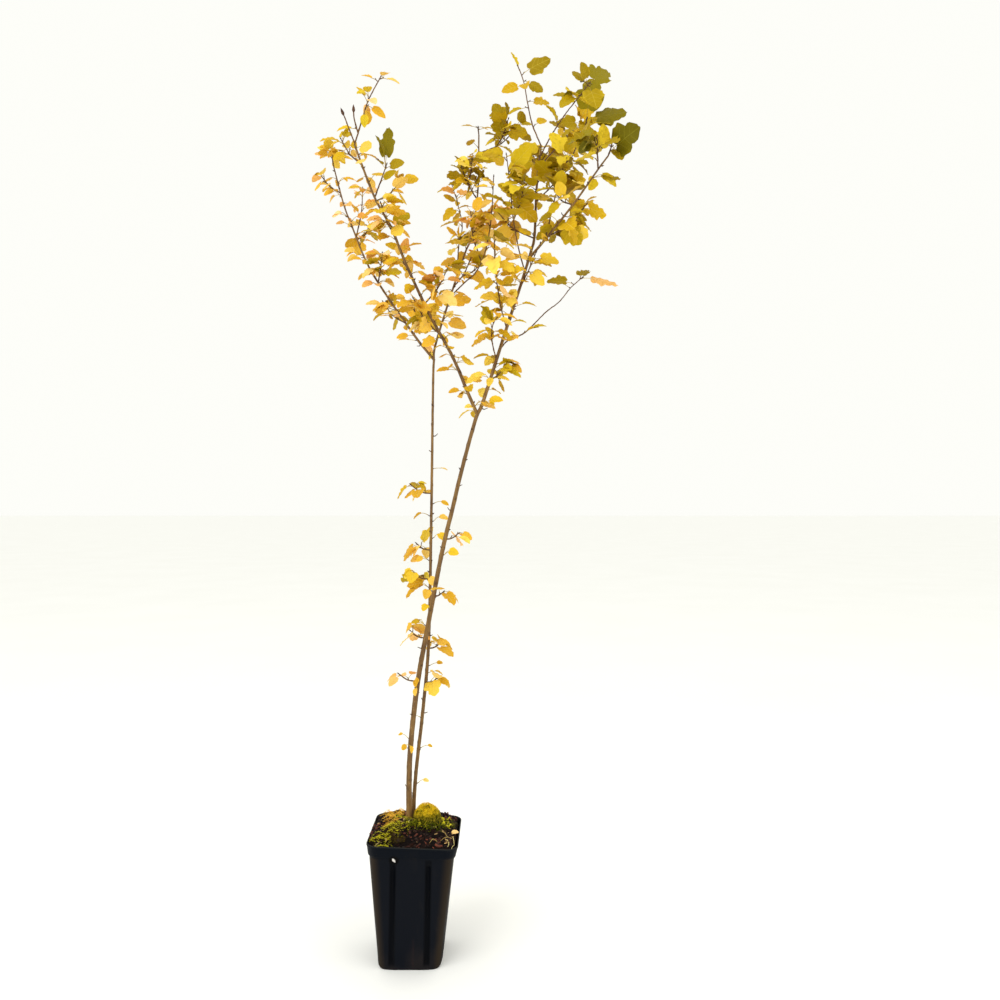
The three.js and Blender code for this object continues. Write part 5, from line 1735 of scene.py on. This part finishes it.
# Straws and roots that lie on the soil, each from a spot, heading that way in degrees, with its length.
STRAWS = [
    (54, -16, 256, 36), (46, -36, 275, 14), (50, -28, 230, 16), (40, -22, 320, 13), (2, 6, 262, 20),
    (36, -42, 200, 12), (-44, -46, 10, 12),
]
STRAW_STEPS = 8

# Dry leaves that have dropped on the soil: where, the way that they head in degrees, and their length.
DROPPED_LEAVES = [(51, -12, 10, 9), (46, -42, 110, 6)]


def straw_piece(tree):
    pile = Pile()
    for n, (x, y, heading, length) in enumerate(STRAWS):
        centres = []
        for step in range(STRAW_STEPS + 1):
            turn = math.radians(heading) + 0.5 * math.sin(step * 0.55 + n)
            spot = ground_under(tree, x, y)
            if spot is None:
                break
            lift = 0.7 + 2.6 * math.sin(math.pi * step / STRAW_STEPS) * chance(n, 3)
            centres.append(spot + UP * lift)
            x += math.cos(turn) * length / STRAW_STEPS
            y += math.sin(turn) * length / STRAW_STEPS
        count = len(centres)
        if count > 3:
            radii = [0.2 + 0.22 * math.sin(math.pi * (k + 0.6) / count) for k in range(count)]
            places, faces = tube(centres, radii, 5)
            pile.add(places, faces, draw=chance(n, 6))
    pile.piece("straws", FINISHES["straw"], "potting_soil", 60)


def dry_leaf_piece(tree):
    pile = Pile()
    for n, (x, y, heading, blade) in enumerate(DROPPED_LEAVES):
        spot = ground_under(tree, x, y) + UP * 1.5
        blade_way = way(math.radians(heading), 0.15)
        leaf = stand_leaf(spot, blade_way, blade_way, np.array([0, -0.5, 1]), blade)
        leaf["neck"] = spot
        add_blade(pile, leaf, 40 + n, 1, 0.8)
    pile.piece("dropped_leaves", FINISHES["peach"], "leaf_orange", 75)


# Feathery moss, in strands that run over the soil: from and to in x, from and to in y, how many
# strands, their length and which way they mostly head, in degrees.
GOLDEN_MOSS = [(-32, -10, 12, 46, 44, 14, 200), (-34, -14, -2, 16, 16, 13, 230)]
YELLOW_MOSS = [
    (-14, 2, 4, 24, 14, 15, 240), (-26, -10, -22, 6, 22, 17, 245), (-36, -22, -44, -22, 20, 16, 255),
    (-34, -26, -52, -46, 6, 9, 270), (-10, 16, -14, 6, 24, 13, 300), (34, 46, 0, 24, 14, 10, 20),
]
GREEN_MOSS = [
    (-4, 34, -16, 4, 90, 9, 270), (36, 52, -2, 26, 14, 10, 20), (26, 40, -10, 8, 14, 11, 340),
]
FEATHER_STEPS = 11


def feather_piece(name, finish, tree, patches, seed):
    pile = Pile()
    for order, (left, right, front, back, count, length, heading) in enumerate(patches):
        for n in range(count):
            draw = seed + order + n * 0.013
            x = mix(left, right, chance(draw, 1))
            y = mix(front, back, chance(draw, 2))
            turn = math.radians(heading) + (chance(draw, 3) - 0.5) * 2.6
            reach = length * mix(0.6, 1.3, chance(draw, 4))
            add_feather(pile, tree, x, y, turn, reach, draw)
    pile.piece(name, finish, "moss", 60)


def add_feather(pile, tree, x, y, turn, reach, seed):
    """A strand of feathery moss that creeps over what is under it, with pairs of small leaves along it.
    Where it creeps out at the front left, it passes over the rim."""
    lift = mix(*FEATHER_LIFT, chance(seed, 5))
    for step in range(FEATHER_STEPS):
        turn += (chance(seed, 20 + step) - 0.5) * 0.5
        x += math.cos(turn) * reach / FEATHER_STEPS
        y += math.sin(turn) * reach / FEATHER_STEPS
        if abs(y) > MOSS_EDGE or abs(x - LEAN) > MOSS_EDGE:
            return
        spot = ground_under(tree, x, y)
        if spot is None:
            return
        share = (step + 1) / FEATHER_STEPS
        spot = spot + UP * (lift * math.sin(math.pi * min(1, share * 1.2)) + 0.4)
        if y < 4 - MOSS_EDGE and x < 0:
            spot[2] = max(spot[2], POT_HEIGHT + RIM_LIFT)
        along = way(turn, 0.15)
        upwards = UP * mix(0.0, 0.9, chance(seed, 40 + step))
        far = mix(*FEATHER_LEAF_LENGTH, step / FEATHER_STEPS) * mix(0.7, 1.2, chance(seed, 6))
        for side in (-1, 1):
            out = unit(np.cross(along, UP) * side + along * 0.8 + upwards)
            width = unit(np.cross(out, UP)) * FEATHER_LEAF_HALF
            places = [spot - width, spot + width, spot + out * far, spot - along * 0.6]
            pile.add(places, [[0, 1, 2], [1, 0, 3]], draw=chance(seed, 60 + step))


GRAIN_HALVES = (1.5, 1.3, 3.0)


def grain_piece():
    """A white grain that has stuck in the mouth of the left front groove."""
    bpy.ops.object.select_all(action="DESELECT")
    bpy.ops.mesh.primitive_ico_sphere_add(subdivisions=3, radius=1, location=(0, 0, 0))
    grain = bpy.context.object
    grain.name = "perlite_grain"
    bpy.ops.object.mode_set(mode="EDIT")
    bpy.ops.mesh.select_all(action="SELECT")
    bpy.ops.transform.resize(value=[value * MM for value in GRAIN_HALVES])
    bpy.ops.transform.rotate(value=0.6, orient_axis="Y", center_override=(0, 0, 0))
    bpy.ops.transform.translate(value=[value * MM for value in GRAIN_SPOT])
    bpy.ops.object.mode_set(mode="OBJECT")
    roughen(grain, (0.5, 1.6), (0.2, 0.6), 3)
    finish_piece(grain, FINISHES["perlite"], 60)


# Stage, light and camera. Each light: its name, place, size, power in watts and where it points. These
# are in metres.
LIGHTS = [
    ("key", (-1.4, -1.9, 2.1), 2.0, 32, (0, 0, 0.6)),
    ("fill", (2.2, -1.2, 1.5), 2.2, 14, (0.1, 0, 0.6)),
]
FLOOR_SIZE = 60


def add_stage():
    bpy.ops.object.select_all(action="DESELECT")
    bpy.ops.mesh.primitive_plane_add(size=FLOOR_SIZE, location=(0, 0, 0))
    floor = bpy.context.object
    floor.name = "floor"
    floor.data.materials.append(FINISHES["floor"])
    world = bpy.data.worlds.new("studio")
    bpy.context.scene.world = world
    world.use_nodes = True
    background = world.node_tree.nodes["Background"]
    background.inputs["Color"].default_value = display(0.995, 0.995, 0.975)
    background.inputs["Strength"].default_value = 1.0
    for light in LIGHTS:
        add_light(*light)
    bpy.context.scene.view_settings.view_transform = "Standard"


def add_light(name, at, size, power, towards):
    light = bpy.data.lights.new(name, "AREA")
    light.size = size
    light.energy = power
    lamp = bpy.data.objects.new(name, light)
    lamp.location = at
    lamp.rotation_euler = (Vector(towards) - Vector(at)).to_track_quat("-Z", "Y").to_euler()
    bpy.context.scene.collection.objects.link(lamp)


def add_camera():
    lens = bpy.data.cameras.new("camera")
    lens.sensor_width = SENSOR
    lens.lens = FOCUS_SHARE * SENSOR
    camera = bpy.data.objects.new("camera", lens)
    camera.location = Vector(CAMERA_AT) * MM
    camera.rotation_euler = (math.pi / 2, 0, 0)
    bpy.context.scene.collection.objects.link(camera)
    bpy.context.scene.camera = camera


FINISHES = {
    "bark": bark_finish("bark", (0.58, 0.44, 0.22), (0.34, 0.23, 0.11)),
    "twig": bark_finish("twig_bark", (0.5, 0.35, 0.17), (0.29, 0.18, 0.09)),
    "bud": bark_finish("bud_scales", (0.42, 0.25, 0.13), (0.22, 0.12, 0.07)),
    "stalk": chip_finish("leaf_stalk", (0.58, 0.47, 0.14), (0.8, 0.7, 0.34), 2.5),
    "orange": leaf_finish("leaf_orange", (0.81, 0.61, 0.08), (0.91, 0.71, 0.18), (0.97, 0.83, 0.46),
                          (0.96, 0.83, 0.5)),
    "gold": leaf_finish("leaf_gold", (0.76, 0.6, 0.03), (0.88, 0.72, 0.1), (0.97, 0.84, 0.34),
                        (0.95, 0.84, 0.42)),
    "olive": leaf_finish("leaf_olive", (0.58, 0.48, 0.0), (0.75, 0.63, 0.03), (0.88, 0.76, 0.16),
                         (0.83, 0.73, 0.26)),
    "green": leaf_finish("leaf_green", (0.36, 0.33, 0.0), (0.46, 0.41, 0.0), (0.58, 0.51, 0.02),
                         (0.55, 0.51, 0.12)),
    "peach": leaf_finish("leaf_peach", (0.9, 0.63, 0.26), (0.96, 0.74, 0.4), (1.0, 0.85, 0.58),
                         (1.0, 0.86, 0.6)),
    "pot": pot_finish(),
    "soil": soil_finish(),
    # The cushion's dark green low colour is partly the moss's own green and partly painted shade under
    # the cushion, which is lit from above.
    "cushion": moss_finish("moss_cushion", (0.14, 0.18, 0.03), (0.86, 0.72, 0.08), (0.95, 0.84, 0.24),
                           (170, 182)),
    # The mat's near-black colour is partly its own dark moss and partly painted shade of the dark
    # hollows among the moss.
    "mat": moss_finish("moss_mat", (0.06, 0.04, 0.02), (0.22, 0.17, 0.04), (0.4, 0.32, 0.08),
                       (154, 168)),
    "golden": moss_finish("golden_moss", (0.66, 0.46, 0.1), (0.9, 0.68, 0.18), (0.96, 0.8, 0.36),
                          (154, 166)),
    "yellow": moss_finish("yellow_moss", (0.58, 0.58, 0.05), (0.84, 0.8, 0.1), (0.94, 0.9, 0.3),
                          (153, 164)),
    "green_moss": moss_finish("green_moss", (0.09, 0.13, 0.03), (0.32, 0.36, 0.04), (0.6, 0.6, 0.1),
                              (156, 172)),
    "chip": chip_finish("bark_chips", (0.1, 0.035, 0.03), (0.5, 0.25, 0.17)),
    "crumb": chip_finish("soil_crumbs", (0.02, 0.012, 0.01), (0.22, 0.12, 0.08)),
    "wood": chip_finish("wood_bits", (0.45, 0.3, 0.16), (0.8, 0.68, 0.45)),
    "straw": chip_finish("straw", (0.62, 0.5, 0.26), (0.9, 0.84, 0.55), 3),
    "perlite": chip_finish("perlite", (0.8, 0.78, 0.76), (1.0, 0.99, 0.97), 0.8),
    "floor": floor_finish(),
}

add_camera()
add_stage()
for order, limb_name in enumerate(LIMBS):
    limb_piece(limb_name, order + 1)
grow()
pot_piece()
grain_piece()
soil = soil_piece()
bare_ground = tree_of(soil)
cushion = moss_piece("moss_cushion", FINISHES["cushion"], 2600, 3)
mat = moss_piece("moss_mat", FINISHES["mat"], 400, 7, bare_ground, 0.18)
ground = tree_of(soil, cushion, mat)
scatter("bark_chips", FINISHES["chip"], ground, CHIP_SPOTS, CHIP_SIZE, 5)
scatter("soil_crumbs", FINISHES["crumb"], bare_ground, CRUMB_SPOTS, CRUMB_SIZE, 8)
scatter("wood_bits", FINISHES["wood"], bare_ground, WOOD_SPOTS, WOOD_SIZE, 9)
straw_piece(ground)
dry_leaf_piece(ground)
feather_piece("golden_moss", FINISHES["golden"], ground, GOLDEN_MOSS, 20)
feather_piece("yellow_moss", FINISHES["yellow"], ground, YELLOW_MOSS, 30)
feather_piece("green_moss", FINISHES["green_moss"], ground, GREEN_MOSS, 40)
